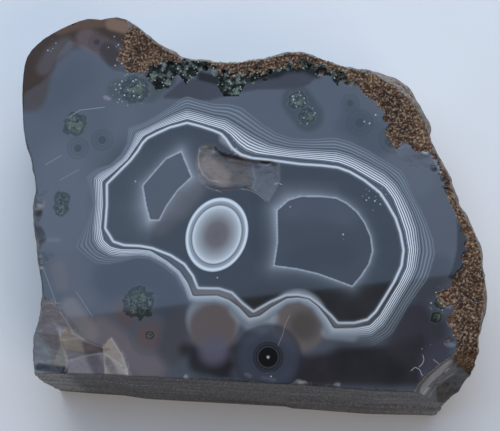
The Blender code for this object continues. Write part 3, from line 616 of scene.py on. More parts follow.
@dataclass(frozen=True)
class FacePattern:
    """The markings that growth left in the stone, as values at points of the plane.

    Args:
        halo_colour: sRGB hex of the pale halos round the cells.
        merge_reach: how far round a known place its merging of the bright lines counts.
        dull_fade: half the width over which the polish turns dull.
    """

    halo_colour: str = "b4bcc4"
    merge_reach: float = 3.5
    dull_fade: float = 0.5

    def values(self, points: np.ndarray) -> dict[str, np.ndarray]:
        """Work out every marking at the given points.

        Args:
            points: places in the plane, one in each row.

        Returns:
            A row of values, or of colours for "body", for each marking's name.
        """
        bands, ribbon, groove = self.growth(points)
        cells = self.cells(points)
        return {
            "body": self.body(points),
            "crack": self.crack(points),
            "ribbon": ribbon,
            "groove": groove,
            "bands": bands,
            "merged": self.merged(points),
            "cells": cells,
            "eye": self.eye(points),
            "pool": np.linalg.norm(points - np.array(POOL_CENTRE), axis=1),
            "moss": self.nearest_round(points, MOSSES),
            "rings": self.nearest_round(points, RINGS),
            "crystals": self.nearest_round(points, CRYSTALS),
            "dull": self.dull(points),
        }

    def growth(self, points: np.ndarray) -> tuple[np.ndarray, np.ndarray, np.ndarray]:
        """Place points among the nested curves of the growth bands.

        Args:
            points: places in the plane, one in each row.

        Returns:
            The band coordinate (0 at the groove, 1 and 2 at the edges of the bright and the
            grey lines), the distance to the ribbon, and the distance to the groove.
        """
        curves = (RIBBON, GROOVE, BRIGHT_EDGE, GREY_EDGE)
        ribbon, groove, bright, grey = (signed_distance(points, rounded(c)) for c in curves)
        within_bright = groove / np.maximum(groove - bright, TINY)
        within_grey = 1.0 + bright / np.maximum(bright - grey, TINY)
        bands = np.where(bright < 0.0, within_bright, np.where(grey < 0.0, within_grey, 2.0 + grey))
        return np.where(groove < 0.0, groove, bands), ribbon, groove

    def merged(self, points: np.ndarray) -> np.ndarray:
        """Blend the merging of the bright lines from the places where it is known."""
        knots = np.array(MERGED)
        gaps = np.linalg.norm(points[:, None, :] - knots[None, :, :2], axis=2)
        weights = np.exp(-((gaps / self.merge_reach) ** 2)) + TINY
        return (weights * knots[:, 2]).sum(axis=1) / weights.sum(axis=1)

    def cells(self, points: np.ndarray) -> np.ndarray:
        """Measure the distance outside the nearer angular cell."""
        gaps = [signed_distance(points, np.array(cell)) for cell in (LEFT_CELL, RIGHT_CELL)]
        return np.minimum(*gaps)

    def eye(self, points: np.ndarray) -> np.ndarray:
        """Measure how far out points lie in the oval eye, with 1 at its rim."""
        shifted = points - np.array(EYE_CENTRE)
        across = shifted[:, 0] * math.cos(EYE_LEAN) - shifted[:, 1] * math.sin(EYE_LEAN)
        along = shifted[:, 0] * math.sin(EYE_LEAN) + shifted[:, 1] * math.cos(EYE_LEAN)
        return np.hypot(across / EYE_RADII[0], along / EYE_RADII[1])

    def nearest_round(self, points: np.ndarray, rounds: tuple) -> np.ndarray:
        """Measure how far out points lie in the nearest round marking, with 1 at its rim."""
        marks = np.array(rounds)
        gaps = np.linalg.norm(points[:, None, :] - marks[None, :, :2], axis=2)
        return (gaps / marks[:, 2]).min(axis=1)

    def dull(self, points: np.ndarray) -> np.ndarray:
        """Tell where the polish is dull: the back left rim and a strip under the host rock."""
        gaps = [signed_distance(points, np.array(outline)) for outline in (DULL_RIM, DULL_BAND)]
        return smooth_share(self.dull_fade - np.minimum(*gaps))

    def crack(self, points: np.ndarray) -> np.ndarray:
        """Draw the hair lines, healed cracks and painted glints, as soft bands for the broken faces."""
        drawn = np.zeros(len(points))
        for strength, places in HAIRS_AND_GLINTS:
            gap, _ = distance_to(points, np.array(places), closed=False)
            drawn = np.maximum(drawn, strength * np.clip(1.0 - gap / BROKEN_LINE_HALF_WIDTH, 0.0, 1.0))
        return drawn

    def body(self, points: np.ndarray) -> np.ndarray:
        """Paint the stone's body colour from the stains, the few painted shadows among them, and the cells'
        halos.

        Args:
            points: places in the plane, one in each row.

        Returns:
            A linear colour with alpha for each point.
        """
        colour = np.tile(np.array(linear(BODY_COLOUR)), (len(points), 1))
        for patch in STAINS_AND_PAINTED_SHADE:
            line = np.array(patch.places)
            gap, _ = distance_to(points, line, closed=patch.filled)
            if patch.filled:
                gap = np.where(inside(points, line), 0.0, gap)
            share = patch.strength * smooth_share(1.0 + (patch.core - gap) / patch.fade)
            colour += share[:, None] * (np.array(linear(patch.colour)) - colour)
        self.add_halos(points, colour)
        return np.hstack([colour, np.ones((len(points), 1))])

    def add_halos(self, points: np.ndarray, colour: np.ndarray) -> None:
        """Lay the pale halos outside the cells' edges over the body colour.

        Args:
            points: places in the plane, one in each row.
            colour: the linear colours, changed in place.
        """
        pale = np.array(linear(self.halo_colour))
        for cell, halo in ((LEFT_CELL, LEFT_HALO), (RIGHT_CELL, RIGHT_HALO)):
            outline = np.array(cell)
            gap, where = distance_to(points, outline, closed=True)
            corners = np.arange(len(halo) + 1)
            reach, strength = (np.interp(where, corners, row) for row in np.array(halo + halo[:1]).T)
            share = strength * np.exp(-gap / reach)
            share[inside(points, outline)] = 0.0
            colour += share[:, None] * (pale - colour)


def hair_points() -> list[tuple[float, float, float]]:
    """Lay out the points that draw the hair lines: a bright middle row and two blank ones.

    Returns:
        A list of (x, y, strength).
    """
    found = []
    for strength, places in HAIRS_AND_GLINTS:
        line = [Vector(place) for place in places]
        for start, end in zip(line, line[1:]):
            span = end - start
            side = Vector((-span.y, span.x)).normalized() * HAIR_HALF_WIDTH
            pieces = max(1, round(span.length / HAIR_STEP))
            for k in range(pieces):
                middle = start.lerp(end, (k + 0.5) / pieces)
                found.append((middle.x, middle.y, strength))
                found.append((middle.x + side.x, middle.y + side.y, 0.0))
                found.append((middle.x - side.x, middle.y - side.y, 0.0))
    return found


@dataclass(frozen=True)
class Relief:
    """The fine relief of each kind of surface.

    Args:
        pore_spacing: distance between the pores of the host rock.
        pore_reach: share of that distance over which a pore opens.
        pore_depth: depth of a pore.
        grain_size: size of the rock's grains.
        grain_height: height of the grains.
        rock_sink: how far the rock lies back as a whole.
        rind_size: size of the swells of the rind.
        rind_height: height of the swells.
        rind_sink: how far the rind lies back as a whole.
        ripple_size: size of the ripples in a break.
        ripple_height: height of the ripples.
        saw_mark: length, width and spacing of the saw's marks.
        saw_grain: size of the grains between them.
        saw_height: height of both.
    """

    pore_spacing: float = 1.15
    pore_reach: float = 0.42
    pore_depth: float = 0.55
    grain_size: float = 0.8
    grain_height: float = 0.25
    rock_sink: float = 0.3
    rind_size: float = 2.6
    rind_height: float = 0.26
    rind_sink: float = 0.06
    ripple_size: float = 1.5
    ripple_height: float = 0.05
    saw_mark: tuple[float, float, float] = (9.0, 2.0, 0.5)
    saw_grain: float = 0.7
    saw_height: float = 0.05

    def height(self, place: Vector, kinds: set) -> float:
        """Height of the relief at a place.

        Args:
            place: the place in millimetres.
            kinds: slots of the faces that meet there.

        Returns:
            The height in millimetres, outwards.
        """
        if Slot.HOST_ROCK in kinds or Slot.CRUST in kinds:
            pores, _ = noise.voronoi(place / self.pore_spacing)
            pit = self.pore_depth * max(0.0, 1.0 - pores[0] / self.pore_reach)
            return self.grain_height * noise.noise(place / self.grain_size) - pit - self.rock_sink
        if Slot.RIND in kinds:
            return self.rind_height * noise.fractal(place / self.rind_size, 1.0, 2.0, 3) - self.rind_sink
        if Slot.BROKEN in kinds:
            return self.ripple_height * noise.noise(place / self.ripple_size)
        stripe = noise.noise(Vector([value / size for value, size in zip(place, self.saw_mark)]))
        return self.saw_height * (stripe + noise.noise(place / self.saw_grain) - 1.0)


@dataclass
class Stone:
    """The whole stone, drawn finer than the solid it stands for.

    Args:
        solid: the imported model's object.
        pattern: the markings of the polished face.
        relief: the fine relief of the other surfaces.
    """

    solid: bpy.types.Object
    pattern: FacePattern
    relief: Relief = Relief()

    def build(self) -> bpy.types.Object:
        """Make the stone's object with its mesh, surfaces and markings.

        Returns:
            The finished object.
        """
        bm = bmesh.new()
        layer = bm.verts.layers.float.new("hair")
        bm.from_mesh(self.solid.data)
        bmesh.ops.remove_doubles(bm, verts=bm.verts, dist=WELD)
        flat = [face for face in bm.faces if self.is_top(face)]
        bmesh.ops.delete(bm, geom=flat, context="FACES")
        self.refine(bm)
        for vert, strength in self.fill_top(bm):
            vert[layer] = strength
        self.sort_faces(bm)
        self.roughen(bm)
        mesh = bpy.data.meshes.new("agate_stone")
        bm.normal_update()
        bm.to_mesh(mesh)
        bm.free()
        for polygon in mesh.polygons:
            polygon.use_smooth = True
        self.write_markings(mesh)
        self.lay_out_map(mesh)
        stone = bpy.data.objects.new("agate_stone", mesh)
        bpy.context.scene.collection.objects.link(stone)
        return stone

    def is_top(self, face: bmesh.types.BMFace) -> bool:
        """Tell whether a face lies in the polished plane."""
        return all(abs(vert.co.z / MM - TOP) < TOUCH for vert in face.verts)

    def is_base(self, face: bmesh.types.BMFace) -> bool:
        """Tell whether a face lies in the plane of the base."""
        return all(vert.co.z / MM < TOUCH for vert in face.verts)

    def refine(self, bm: bmesh.types.BMesh) -> None:
        """Halve the long edges of everything but the base, a few times over."""
        for _ in range(ROUGH_PASSES):
            edges = [edge for edge in bm.edges if not all(self.is_base(face) for face in edge.link_faces)]
            middles = np.array([(edge.verts[0].co + edge.verts[1].co) / 2.0 for edge in edges]) / MM
            chipped = self.is_broken(middles[:, :2]) & (middles[:, 2] > FINE_FLOOR)
            steps = np.where(chipped, BROKEN_STEP, ROUGH_STEP) * MM
            long_edges = [edge for edge, step in zip(edges, steps) if edge.calc_length() > step]
            bmesh.ops.subdivide_edges(bm, edges=long_edges, cuts=1)
            many_sided = [face for face in bm.faces if len(face.verts) > 3]
            bmesh.ops.triangulate(bm, faces=many_sided)

    def is_broken(self, plane: np.ndarray) -> np.ndarray:
        """Tell which places lie in the broken corners, notches and chips."""
        outlines = (FRONT_LEFT_CORNER, FRONT_RIGHT_CORNER, FACE_CHIP, OVAL_CHIP)
        return np.any([inside(plane, np.array(outline)) for outline in outlines], axis=0)

    def fill_top(self, bm: bmesh.types.BMesh) -> list[tuple[bmesh.types.BMVert, float]]:
        """Fill the polished plane with small even triangles.

        Args:
            bm: the mesh, open at the top.

        Returns:
            The vertices of the hair lines, each with its strength.
        """
        border = [edge for edge in bm.edges if edge.is_boundary]
        rim = list({vert for edge in border for vert in edge.verts})
        rim.sort(key=lambda vert: tuple(vert.co))
        order = {vert: index for index, vert in enumerate(rim)}
        rim_xy = np.array([vert.co.xy for vert in rim]) / MM
        segments = np.array([[rim_xy[order[v]] for v in edge.verts] for edge in border])
        hair = np.array(hair_points())
        hair = hair[self.crossings_inside(hair[:, :2], segments)]
        hair = hair[self.free_of(hair[:, :2], segments, FACE_MARGIN)]
        hair_xy = hair[:, :2]
        grid = self.grid_points(segments, hair_xy)
        places = np.vstack([rim_xy, hair_xy, grid])
        links = [tuple(order[vert] for vert in edge.verts) for edge in border]
        filled = delaunay_2d_cdt([Vector(p) for p in places], links, [], 0, SAME_PLACE)
        points = np.array([tuple(p) for p in filled[0]])
        triangles = np.array(filled[2])
        sources = filled[3]
        keep = self.crossings_inside(points[triangles].mean(axis=1), segments)
        verts = []
        for point, source in zip(points, sources):
            if source and source[0] < len(rim):
                verts.append(rim[source[0]])
            else:
                verts.append(bm.verts.new((point[0] * MM, point[1] * MM, TOP * MM)))
        for corners in triangles[keep]:
            bm.faces.new([verts[corner] for corner in corners])
        loose = [vert for vert in verts if not vert.link_faces]
        marked = [
            (verts[index], hair[source[0] - len(rim)][2])
            for index, source in enumerate(sources)
            if source and len(rim) <= source[0] < len(rim) + len(hair) and verts[index].link_faces
        ]
        bmesh.ops.delete(bm, geom=loose, context="VERTS")
        return marked

    def grid_points(self, segments: np.ndarray, taken: np.ndarray) -> np.ndarray:
        """Spread even points over the polished plane, clear of its border and of taken places.

        Args:
            segments: the border's edges.
            taken: places that already have points.

        Returns:
            The new points, one in each row.
        """
        low = segments.reshape(-1, 2).min(axis=0)
        high = segments.reshape(-1, 2).max(axis=0)
        rows = np.arange(low[1], high[1], FACE_STEP * math.sqrt(0.75))
        found = []
        for index, y in enumerate(rows):
            start = low[0] + FACE_STEP * (index % 2) / 2.0
            xs = np.arange(start, high[0], FACE_STEP)
            found.append(np.column_stack([xs, np.full(len(xs), y)]))
        grid = np.vstack(found)
        grid = grid[self.crossings_inside(grid, segments)]
        grid = grid[self.free_of(grid, segments, FACE_MARGIN)]
        busy = {(round(x), round(y)) for x, y in taken / FACE_MARGIN}
        round_about = [(i, j) for i in (-1, 0, 1) for j in (-1, 0, 1)]
        near = [
            any((round(x) + i, round(y) + j) in busy for i, j in round_about)
            for x, y in grid / FACE_MARGIN
        ]
        return grid[~np.array(near)]

    def crossings_inside(self, points: np.ndarray, segments: np.ndarray) -> np.ndarray:
        """Tell which points the border's edges enclose, whatever the edges' order."""
        found = np.zeros(len(points), bool)
        x, y = points.T
        for start, end in segments:
            rise = end[1] - start[1]
            if rise != 0.0:
                crossing = (start[1] > y) != (end[1] > y)
                found ^= crossing & (x < start[0] + (y - start[1]) * (end[0] - start[0]) / rise)
        return found

    def free_of(self, points: np.ndarray, segments: np.ndarray, margin: float) -> np.ndarray:
        """Tell which points keep clear of the border by a margin."""
        clear = np.ones(len(points), bool)
        for start, end in segments:
            low = np.minimum(start, end) - margin
            high = np.maximum(start, end) + margin
            near = np.flatnonzero(((points > low) & (points < high)).all(axis=1))
            if len(near):
                gap, _ = distance_to(points[near], np.array([start, end]), closed=False)
                clear[near[gap < margin]] = False
        return clear

    def sort_faces(self, bm: bmesh.types.BMesh) -> None:
        """Give each face the slot of its kind of surface."""
        bm.normal_update()
        faces = list(bm.faces)
        centres = np.array([face.calc_center_median() for face in faces]) / MM
        normals = np.array([face.normal for face in faces])
        flat = np.array([self.is_top(face) for face in faces])
        x, y, height = centres.T
        plane = centres[:, :2]
        up = normals[:, 2] > FACING
        high = up & (height > HIGH)
        noise.seed_set(WANDER_SEED)
        wander = np.array([noise.noise_vector(Vector(c) / WANDER_SIZE) for c in centres])[:, :2]
        slots = np.full(len(faces), Slot.RIND)
        slots[(normals[:, 1] < SAWN_FACING) & (y < FRONT) & (x < SAWN_END)] = Slot.SAWN
        broken = self.is_broken(plane) | (signed_distance(plane, np.array(FACE_CHIP)) < CHIP_LIP)
        slots[broken & up & (height > CHIP_FLOOR)] = Slot.BROKEN
        slots[inside(plane, np.array(LEFT_NOTCHES)) & high] = Slot.BROKEN
        for pocket in CRUST_POCKETS:
            slots[inside(plane, np.array(pocket)) & high] = Slot.CRUST
        slots[high & (y < FRONT) & (slots == Slot.RIND)] = Slot.BROKEN
        corner = (normals[:, 2] > CORNER_FACING) & (height > CORNER_FLOOR)
        corner &= (y < CORNER_FRONT) & (np.abs(x - SAWN_END) < CORNER_HALF_WIDTH)
        slots[corner & (slots == Slot.RIND)] = Slot.BROKEN
        slots[high & (x > ROCK_LEFT) & (slots == Slot.RIND)] = Slot.HOST_ROCK
        slots[flat] = Slot.POLISHED
        strayed = plane + wander * ROCK_STRAY
        rock = inside(strayed, np.array(ROCK_PATCH)) | inside(strayed, np.array(ROCK_BAND))
        slots[rock & high & ~broken] = Slot.HOST_ROCK
        depth = signed_distance(plane + wander * FRINGE_STRAY, np.array(ROCK_BAND))
        fringe = (depth < CRUST_REACH) & (depth > -CRUST_DEPTH) & (y > FRINGE_FRONT) & (x < FRINGE_RIGHT)
        crust = fringe | inside(strayed, np.array(DARK_POCKET))
        slots[crust & high & ~broken] = Slot.CRUST
        slots[inside(plane, np.array(SMOOTH_CORNER)) & ~flat & high] = Slot.BROKEN
        slots[inside(strayed, np.array(CORNER_ROCK)) & (normals[:, 2] > 0.0)] = Slot.HOST_ROCK
        for face, slot in zip(faces, slots):
            face.material_index = int(slot)

    def roughen(self, bm: bmesh.types.BMesh) -> None:
        """Ease the facets of the natural surfaces and give each surface its own relief."""
        natural = (Slot.HOST_ROCK, Slot.RIND)
        sides = [vert for vert in bm.verts if TOUCH < vert.co.z / MM < TOP - TOUCH]
        soft = [v for v in sides if all(face.material_index in natural for face in v.link_faces)]
        axes = {"use_axis_x": True, "use_axis_y": True, "use_axis_z": True}
        for _ in range(EASE_PASSES):
            bmesh.ops.smooth_vert(bm, verts=soft, factor=EASE_SHARE, **axes)
        bm.normal_update()
        low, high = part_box(self.solid.name)
        moves = []
        for vert in bm.verts:
            height = vert.co.z / MM
            kinds = {face.material_index for face in vert.link_faces}
            if height < TOUCH or (height > TOP - TOUCH and kinds != {Slot.HOST_ROCK}):
                continue
            moves.append((vert, vert.normal * self.relief.height(vert.co / MM, kinds)))
        for vert, move in moves:
            moved = vert.co + move * MM
            vert.co = [min(max(value, a), b) for value, a, b in zip(moved, low, high)]

    def write_markings(self, mesh: bpy.types.Mesh) -> None:
        """Store the markings on the mesh's points."""
        places = np.empty(len(mesh.vertices) * 3)
        mesh.vertices.foreach_get("co", places)
        plane = places.reshape(-1, 3)[:, :2] / MM
        for name, values in self.pattern.values(plane).items():
            kind, field_name = ("FLOAT_COLOR", "color") if values.ndim == 2 else ("FLOAT", "value")
            attribute = mesh.attributes.new(name, kind, "POINT")
            attribute.data.foreach_set(field_name, values.astype(np.float32).ravel())

    def lay_out_map(self, mesh: bpy.types.Mesh) -> None:
        """Lay the surface out flat: the face large, the sides in two strips, the base small.

        Args:
            mesh: the stone's mesh.
        """
        layout = mesh.uv_layers.new(name="OFBake")
        half_turn = math.pi
        for polygon in mesh.polygons:
            centre = polygon.center / MM
            middle = math.atan2(centre.y, centre.x)
            strip = 0 if middle < 0.0 else 1
            for loop_index in polygon.loop_indices:
                place = mesh.vertices[mesh.loops[loop_index].vertex_index].co / MM
                across, back = place.x - MAP_CORNER[0], place.y - MAP_CORNER[1]
                if polygon.normal.z > FACING:
                    spot = (MAP_EDGE + across * FACE_SCALE, MAP_EDGE + back * FACE_SCALE)
                elif polygon.normal.z < -FACING and centre.z < BASE_HEIGHT:
                    spot = (BASE_LEFT + across * BASE_SCALE, MAP_EDGE + back * BASE_SCALE)
                else:
                    turn = math.atan2(place.y, place.x) - middle
                    turn = middle + (turn + half_turn) % (2.0 * half_turn) - half_turn
                    along = (turn + half_turn * (1 - strip)) / half_turn
                    foot = SIDE_FOOT + STRIP_RISE * strip
                    spot = (SIDE_LEFT + SIDE_WIDTH * along, foot + place.z * SIDE_SCALE)
                layout.data[loop_index].uv = spot


def add(tree: bpy.types.NodeTree, kind: str, settings: dict, links: dict) -> bpy.types.Node:
    """Add one node, set it up and link it.

    Args:
        tree: the node tree.
        kind: the node's type after ShaderNode.
        settings: its properties, and "stops" for a colour ramp as (position, hex or value).
        links: what each input gets, by name or number: a socket or a plain value.

    Returns:
        The node.
    """
    made = tree.nodes.new("ShaderNode" + kind)
    for name, value in settings.items():
        if name != "stops":
            setattr(made, name, value)
            continue
        elements = made.color_ramp.elements
        while len(elements) < len(value):
            elements.new(1.0)
        for element, (position, shade) in zip(elements, value):
            element.position = position
            parts = linear(shade) if isinstance(shade, str) else (shade,) * 3
            element.color = (*parts, 1.0)
    for name, value in links.items():
        if isinstance(value, bpy.types.NodeSocket):
            tree.links.new(value, made.inputs[name])
        else:
            made.inputs[name].default_value = value
    return made


class Brush:
    """Builds one material's colour step by step, each step over the last.

    Args:
        name: the material's name.
    """

    def __init__(self, name: str) -> None:
        """Start an empty material."""
        self.material = bpy.data.materials.new(name)
        self.material.use_nodes = True
        self.tree = self.material.node_tree
        self.tree.nodes.clear()
        self.place = add(self.tree, "TexCoord", {}, {}).outputs["Object"]

    def marking(self, name: str) -> bpy.types.NodeSocket:
        """Read a value that the mesh's points hold."""
        return add(self.tree, "Attribute", {"attribute_name": name}, {}).outputs["Fac"]

    def painted(self, name: str) -> bpy.types.NodeSocket:
        """Read a colour that the mesh's points hold."""
        return add(self.tree, "Attribute", {"attribute_name": name}, {}).outputs["Color"]

    def math(self, operation: str, *values: object) -> bpy.types.NodeSocket:
        """Combine values with one arithmetic step."""
        return add(self.tree, "Math", {"operation": operation}, dict(enumerate(values))).outputs[0]

    def curve(self, value: bpy.types.NodeSocket, *stops: tuple) -> bpy.types.NodeSocket:
        """Turn a value into a shade or a colour.

        Args:
            value: the value to look up.
            stops: (value, shade or hex) pairs in rising order.

        Returns:
            The colour socket.
        """
        low, high = stops[0][0], stops[-1][0]
        scaled = add(self.tree, "MapRange", {}, {0: value, 1: low, 2: high}).outputs[0]
        shares = [((place - low) / (high - low), shade) for place, shade in stops]
        return add(self.tree, "ValToRGB", {"stops": shares}, {0: scaled}).outputs[0]

    def over(self, base: object, top: object, share: object) -> bpy.types.NodeSocket:
        """Lay one colour over another by a share."""
        colours = [linear(c) + (1.0,) if isinstance(c, str) else c for c in (base, top)]
        settings = {"data_type": "RGBA", "clamp_factor": True}
        mixed = add(self.tree, "Mix", settings, {0: share, 6: colours[0], 7: colours[1]})
        return mixed.outputs[2]

    def grain(
        self, size: float, detail: float = 2.0, stretch: tuple = (1.0, 1.0, 1.0)
    ) -> bpy.types.NodeSocket:
        """Make soft noise whose features are about as large as a size in millimetres."""
        scale = tuple(value / (size * MM) for value in stretch)
        where = add(self.tree, "Mapping", {}, {"Vector": self.place, "Scale": scale}).outputs[0]
        links = {"Vector": where, "Scale": 1.0, "Detail": detail}
        return add(self.tree, "TexNoise", {}, links).outputs[0]

    def cells(self, size: float) -> bpy.types.NodeSocket:
        """Measure the distance to the nearest of many scattered spots, as a share of their spacing."""
        where = add(self.tree, "Mapping", {}, {"Vector": self.place, "Scale": (1.0 / (size * MM),) * 3})
        links = {"Vector": where.outputs[0], "Scale": 1.0}
        return add(self.tree, "TexVoronoi", {"feature": "F1"}, links).outputs["Distance"]

    def finish(
        self, colour: object, roughness: object, settings: dict, bump: tuple | None = None
    ) -> bpy.types.Material:
        """Close the material with its surface shader.

        Args:
            colour: the base colour.
            roughness: the roughness.
            settings: the shader's other inputs.
            bump: (height socket, depth in millimetres), or None.

        Returns:
            The material.
        """
        links = {"Base Color": colour, "Roughness": roughness, **settings}
        if bump is not None:
            depth = {"Height": bump[0], "Distance": bump[1] * MM, "Strength": 1.0}
            links["Normal"] = add(self.tree, "Bump", {}, depth).outputs[0]
        surface = add(self.tree, "BsdfPrincipled", {}, links)
        add(self.tree, "OutputMaterial", {}, {"Surface": surface.outputs[0]})
        return self.material


@dataclass(frozen=True)
class PolishedChalcedony:
    """Banded chalcedony, lapped and polished: a smooth glassy skin over sharp milky bands."""

    line_count: float = 6.0
    wide_lines: float = 4.0
    ribbon_white: str = "c9cfd4"
    ribbon_dim: str = "adb4ba"
    groove_dark: str = "14171c"
    gap_slate: str = "434951"
    gap_brown: str = "656060"
    ior: float = 1.54
    roughness: float = 0.035
    dulling: float = 0.8

    def build(self) -> bpy.types.Material:
        """Make the material.

        Returns:
            The finished material.
        """
        brush = Brush("polished_chalcedony")
        colour = self.clouded(brush)
        colour = self.mossy(brush, colour)
        colour = self.banded(brush, colour)
        colour = self.edged(brush, colour)
        colour = self.eyed(brush, colour)
        colour = self.sparkled(brush, colour)
        dull = brush.math("MULTIPLY_ADD", brush.marking("dull"), self.dulling, self.roughness)
        return brush.finish(colour, dull, {"IOR": self.ior})

    def clouded(self, brush: Brush) -> bpy.types.NodeSocket:
        """Body colour with the faint clouds of the clear zones."""
        clouds = brush.grain(9.0, 4.0)
        share = brush.curve(clouds, (0.35, 0.0), (0.7, 0.06))
        return brush.over(brush.painted("body"), "6a7078", share)

    def mossy(self, brush: Brush, base: bpy.types.NodeSocket) -> bpy.types.NodeSocket:
        """Dark green and olive dendrites, each with a pale skin, and small ringed eyes."""
        moss = brush.marking("moss")
        moss = brush.math("ADD", moss, brush.math("MULTIPLY", brush.grain(1.6, 3.0), 0.9))
        colour = brush.over(base, "171c1b", brush.curve(moss, (0.9, 0.9), (1.35, 0.7), (1.6, 0.0)))
        tufts = brush.curve(brush.grain(1.3, 3.0), (0.48, 0.0), (0.58, 0.65))
        near = brush.curve(moss, (1.0, 1.0), (1.3, 0.0))
        colour = brush.over(colour, "505b43", brush.math("MULTIPLY", tufts, near))
        threads = brush.curve(brush.grain(0.9, 3.0), (0.47, 0.0), (0.5, 0.55), (0.53, 0.0))
        colour = brush.over(colour, "8d988c", brush.math("MULTIPLY", threads, near))
        skin = brush.curve(moss, (1.36, 0.0), (1.46, 0.14), (1.58, 0.0))
        colour = brush.over(colour, "8b9194", skin)
        rings = brush.marking("rings")
        dark = brush.curve(
            rings, (0.0, 0.75), (0.34, 0.7), (0.46, 0.08), (0.62, 0.4), (0.78, 0.1), (1.0, 0.32),
            (1.12, 0.0),
        )
        return brush.over(colour, "25282c", dark)

    def banded(self, brush: Brush, base: bpy.types.NodeSocket) -> bpy.types.NodeSocket:
        """White ribbon, dark groove and the fine bright and grey lines outside it."""
        bands = brush.marking("bands")
        merged = brush.marking("merged")
        wide = brush.math("MAXIMUM", brush.math("SUBTRACT", bands, 1.0), 0.0)
        even = brush.math("MULTIPLY", bands, self.line_count)
        count = brush.math("MULTIPLY_ADD", wide, self.wide_lines - self.line_count, even)
        phase = brush.math("MULTIPLY", count, 2.0 * math.pi)
        wave = brush.math("MULTIPLY_ADD", brush.math("COSINE", phase), 0.5, 0.5)
        peaks = brush.curve(
            bands, (0.0, "9aa1a8"), (0.17, "ebeef1"), (0.5, "dce1e5"), (0.85, "aab1b8"),
            (1.05, "6a7279"), (1.5, "838b93"), (2.0, "737b83"),
        )
        troughs = brush.curve(
            bands, (0.0, "2c3036"), (0.25, "2c3036"), (0.75, "24282d"), (1.0, "1b1e22"),
            (1.25, "42474d"), (2.0, "474c52"),
        )
        lines = brush.over(troughs, peaks, wave)
        solid = brush.curve(
            bands, (0.0, "858a8f"), (0.2, "a2a8ad"), (0.55, "888e93"), (1.0, "6c7176"), (1.6, "4c4f53"),
        )
        lines = brush.over(lines, solid, merged)
        shown = brush.curve(bands, (-0.1, 0.0), (0.0, 1.0), (1.0, 1.0), (1.3, 0.75), (2.0, 0.7), (2.3, 0.0))
        early = brush.curve(bands, (-0.1, 0.0), (0.0, 1.0), (0.8, 1.0), (1.25, 0.25), (1.6, 0.0))
        colour = brush.over(base, lines, brush.over(shown, early, merged))
        ribbon = brush.marking("ribbon")
        groove = brush.marking("groove")
        gap = brush.over(self.gap_slate, self.gap_brown, merged)
        between = brush.math(
            "MULTIPLY",
            brush.curve(ribbon, (0.1, 0.0), (0.4, 1.0)),
            brush.curve(groove, (-0.1, 1.0), (0.1, 0.0)),
        )
        colour = brush.over(colour, gap, between)
        cleft = brush.curve(groove, (-0.28, 0.0), (0.0, 0.7), (0.22, 0.0))
        colour = brush.over(colour, self.groove_dark, cleft)
        core = brush.curve(
            ribbon, (-0.9, 0.0), (-0.45, 0.06), (-0.27, 0.45), (-0.1, 1.0), (0.1, 0.95), (0.36, 0.0)
        )
        white = brush.over(self.ribbon_white, self.ribbon_dim, merged)
        return brush.over(colour, white, core)

    def edged(self, brush: Brush, base: bpy.types.NodeSocket) -> bpy.types.NodeSocket:
        """Fine pale lines round the angular cells."""
        edge = brush.curve(brush.marking("cells"), (-0.25, 0.0), (0.0, 0.75), (0.3, 0.0))
        return brush.over(base, "aab1b8", edge)

    def eyed(self, brush: Brush, base: bpy.types.NodeSocket) -> bpy.types.NodeSocket:
        """The ringed oval eye, and the round dark one near the front."""
        eye = brush.marking("eye")
        rings = brush.curve(
            eye, (0.0, "5a5150"), (0.3, "625a59"), (0.4, "73706f"), (0.53, "888b8d"), (0.66, "a3a8ab"),
            (0.755, "c6cbce"), (0.775, "a8adb1"), (0.80, "585c61"), (0.825, "7f858a"), (0.88, "8e959b"),
            (0.93, "d3dade"), (0.965, "c9d0d5"), (1.0, "8a9097"),
        )
        colour = brush.over(base, rings, brush.curve(eye, (0.985, 1.0), (1.01, 0.0)))
        pool = brush.marking("pool")
        disc = brush.curve(
            pool, (0.0, "c8ccd0"), (0.3, "8a8e92"), (0.45, "0e0e10"), (2.0, "101013"), (2.3, "3a3c42"),
            (2.55, "1b1c20"), (2.85, "33363d"), (3.1, "26282d"), (3.5, "3b3d47"), (5.5, "3c404b"),
            (6.7, "363943"), (7.2, "2e3037"),
        )
        shown = brush.curve(pool, (0.0, 1.0), (3.2, 1.0), (5.0, 0.8), (6.8, 0.75), (7.7, 0.0))
        return brush.over(colour, disc, shown)

    def sparkled(self, brush: Brush, base: bpy.types.NodeSocket) -> bpy.types.NodeSocket:
        """Tiny white crystals in clusters, and the hair lines of cracks, scratches and painted glints."""
        specks = brush.curve(brush.cells(0.9), (0.17, 1.0), (0.26, 0.0))
        near = brush.curve(brush.marking("crystals"), (0.6, 0.8), (1.0, 0.0))
        colour = brush.over(base, "b9bdbe", brush.math("MULTIPLY", specks, near))
        # Pale hair lines: cracks and scratches, and painted glints along the chip's edges
        return brush.over(colour, "b4b9be", brush.marking("hair"))


@dataclass(frozen=True)
class HostRock:
    """Weathered basalt that the nodule grew in: brown, rough and full of pores and pale grains."""

    def build(self) -> bpy.types.Material:
        """Make the material.

        Returns:
            The finished material.
        """
        brush = Brush("weathered_basalt")
        patches = brush.grain(4.5, 4.0)
        colour = brush.curve(patches, (0.36, "281a11"), (0.5, "5f442e"), (0.66, "957454"))
        grains = brush.cells(0.75)
        tone = brush.curve(brush.grain(0.5, 3.0), (0.38, "1c120b"), (0.52, "563d2a"), (0.66, "a78c70"))
        colour = brush.over(colour, tone, 0.75)
        pores = brush.curve(brush.cells(0.85), (0.14, 0.95), (0.4, 0.0))
        colour = brush.over(colour, "120c08", pores)
        pale = brush.curve(grains, (0.08, 0.8), (0.2, 0.0))
        colour = brush.over(colour, "b3aa9f", brush.math("MULTIPLY", pale, 0.7))
        return brush.finish(colour, 0.82, {"IOR": 1.5}, (brush.grain(0.8, 4.0), 0.5))


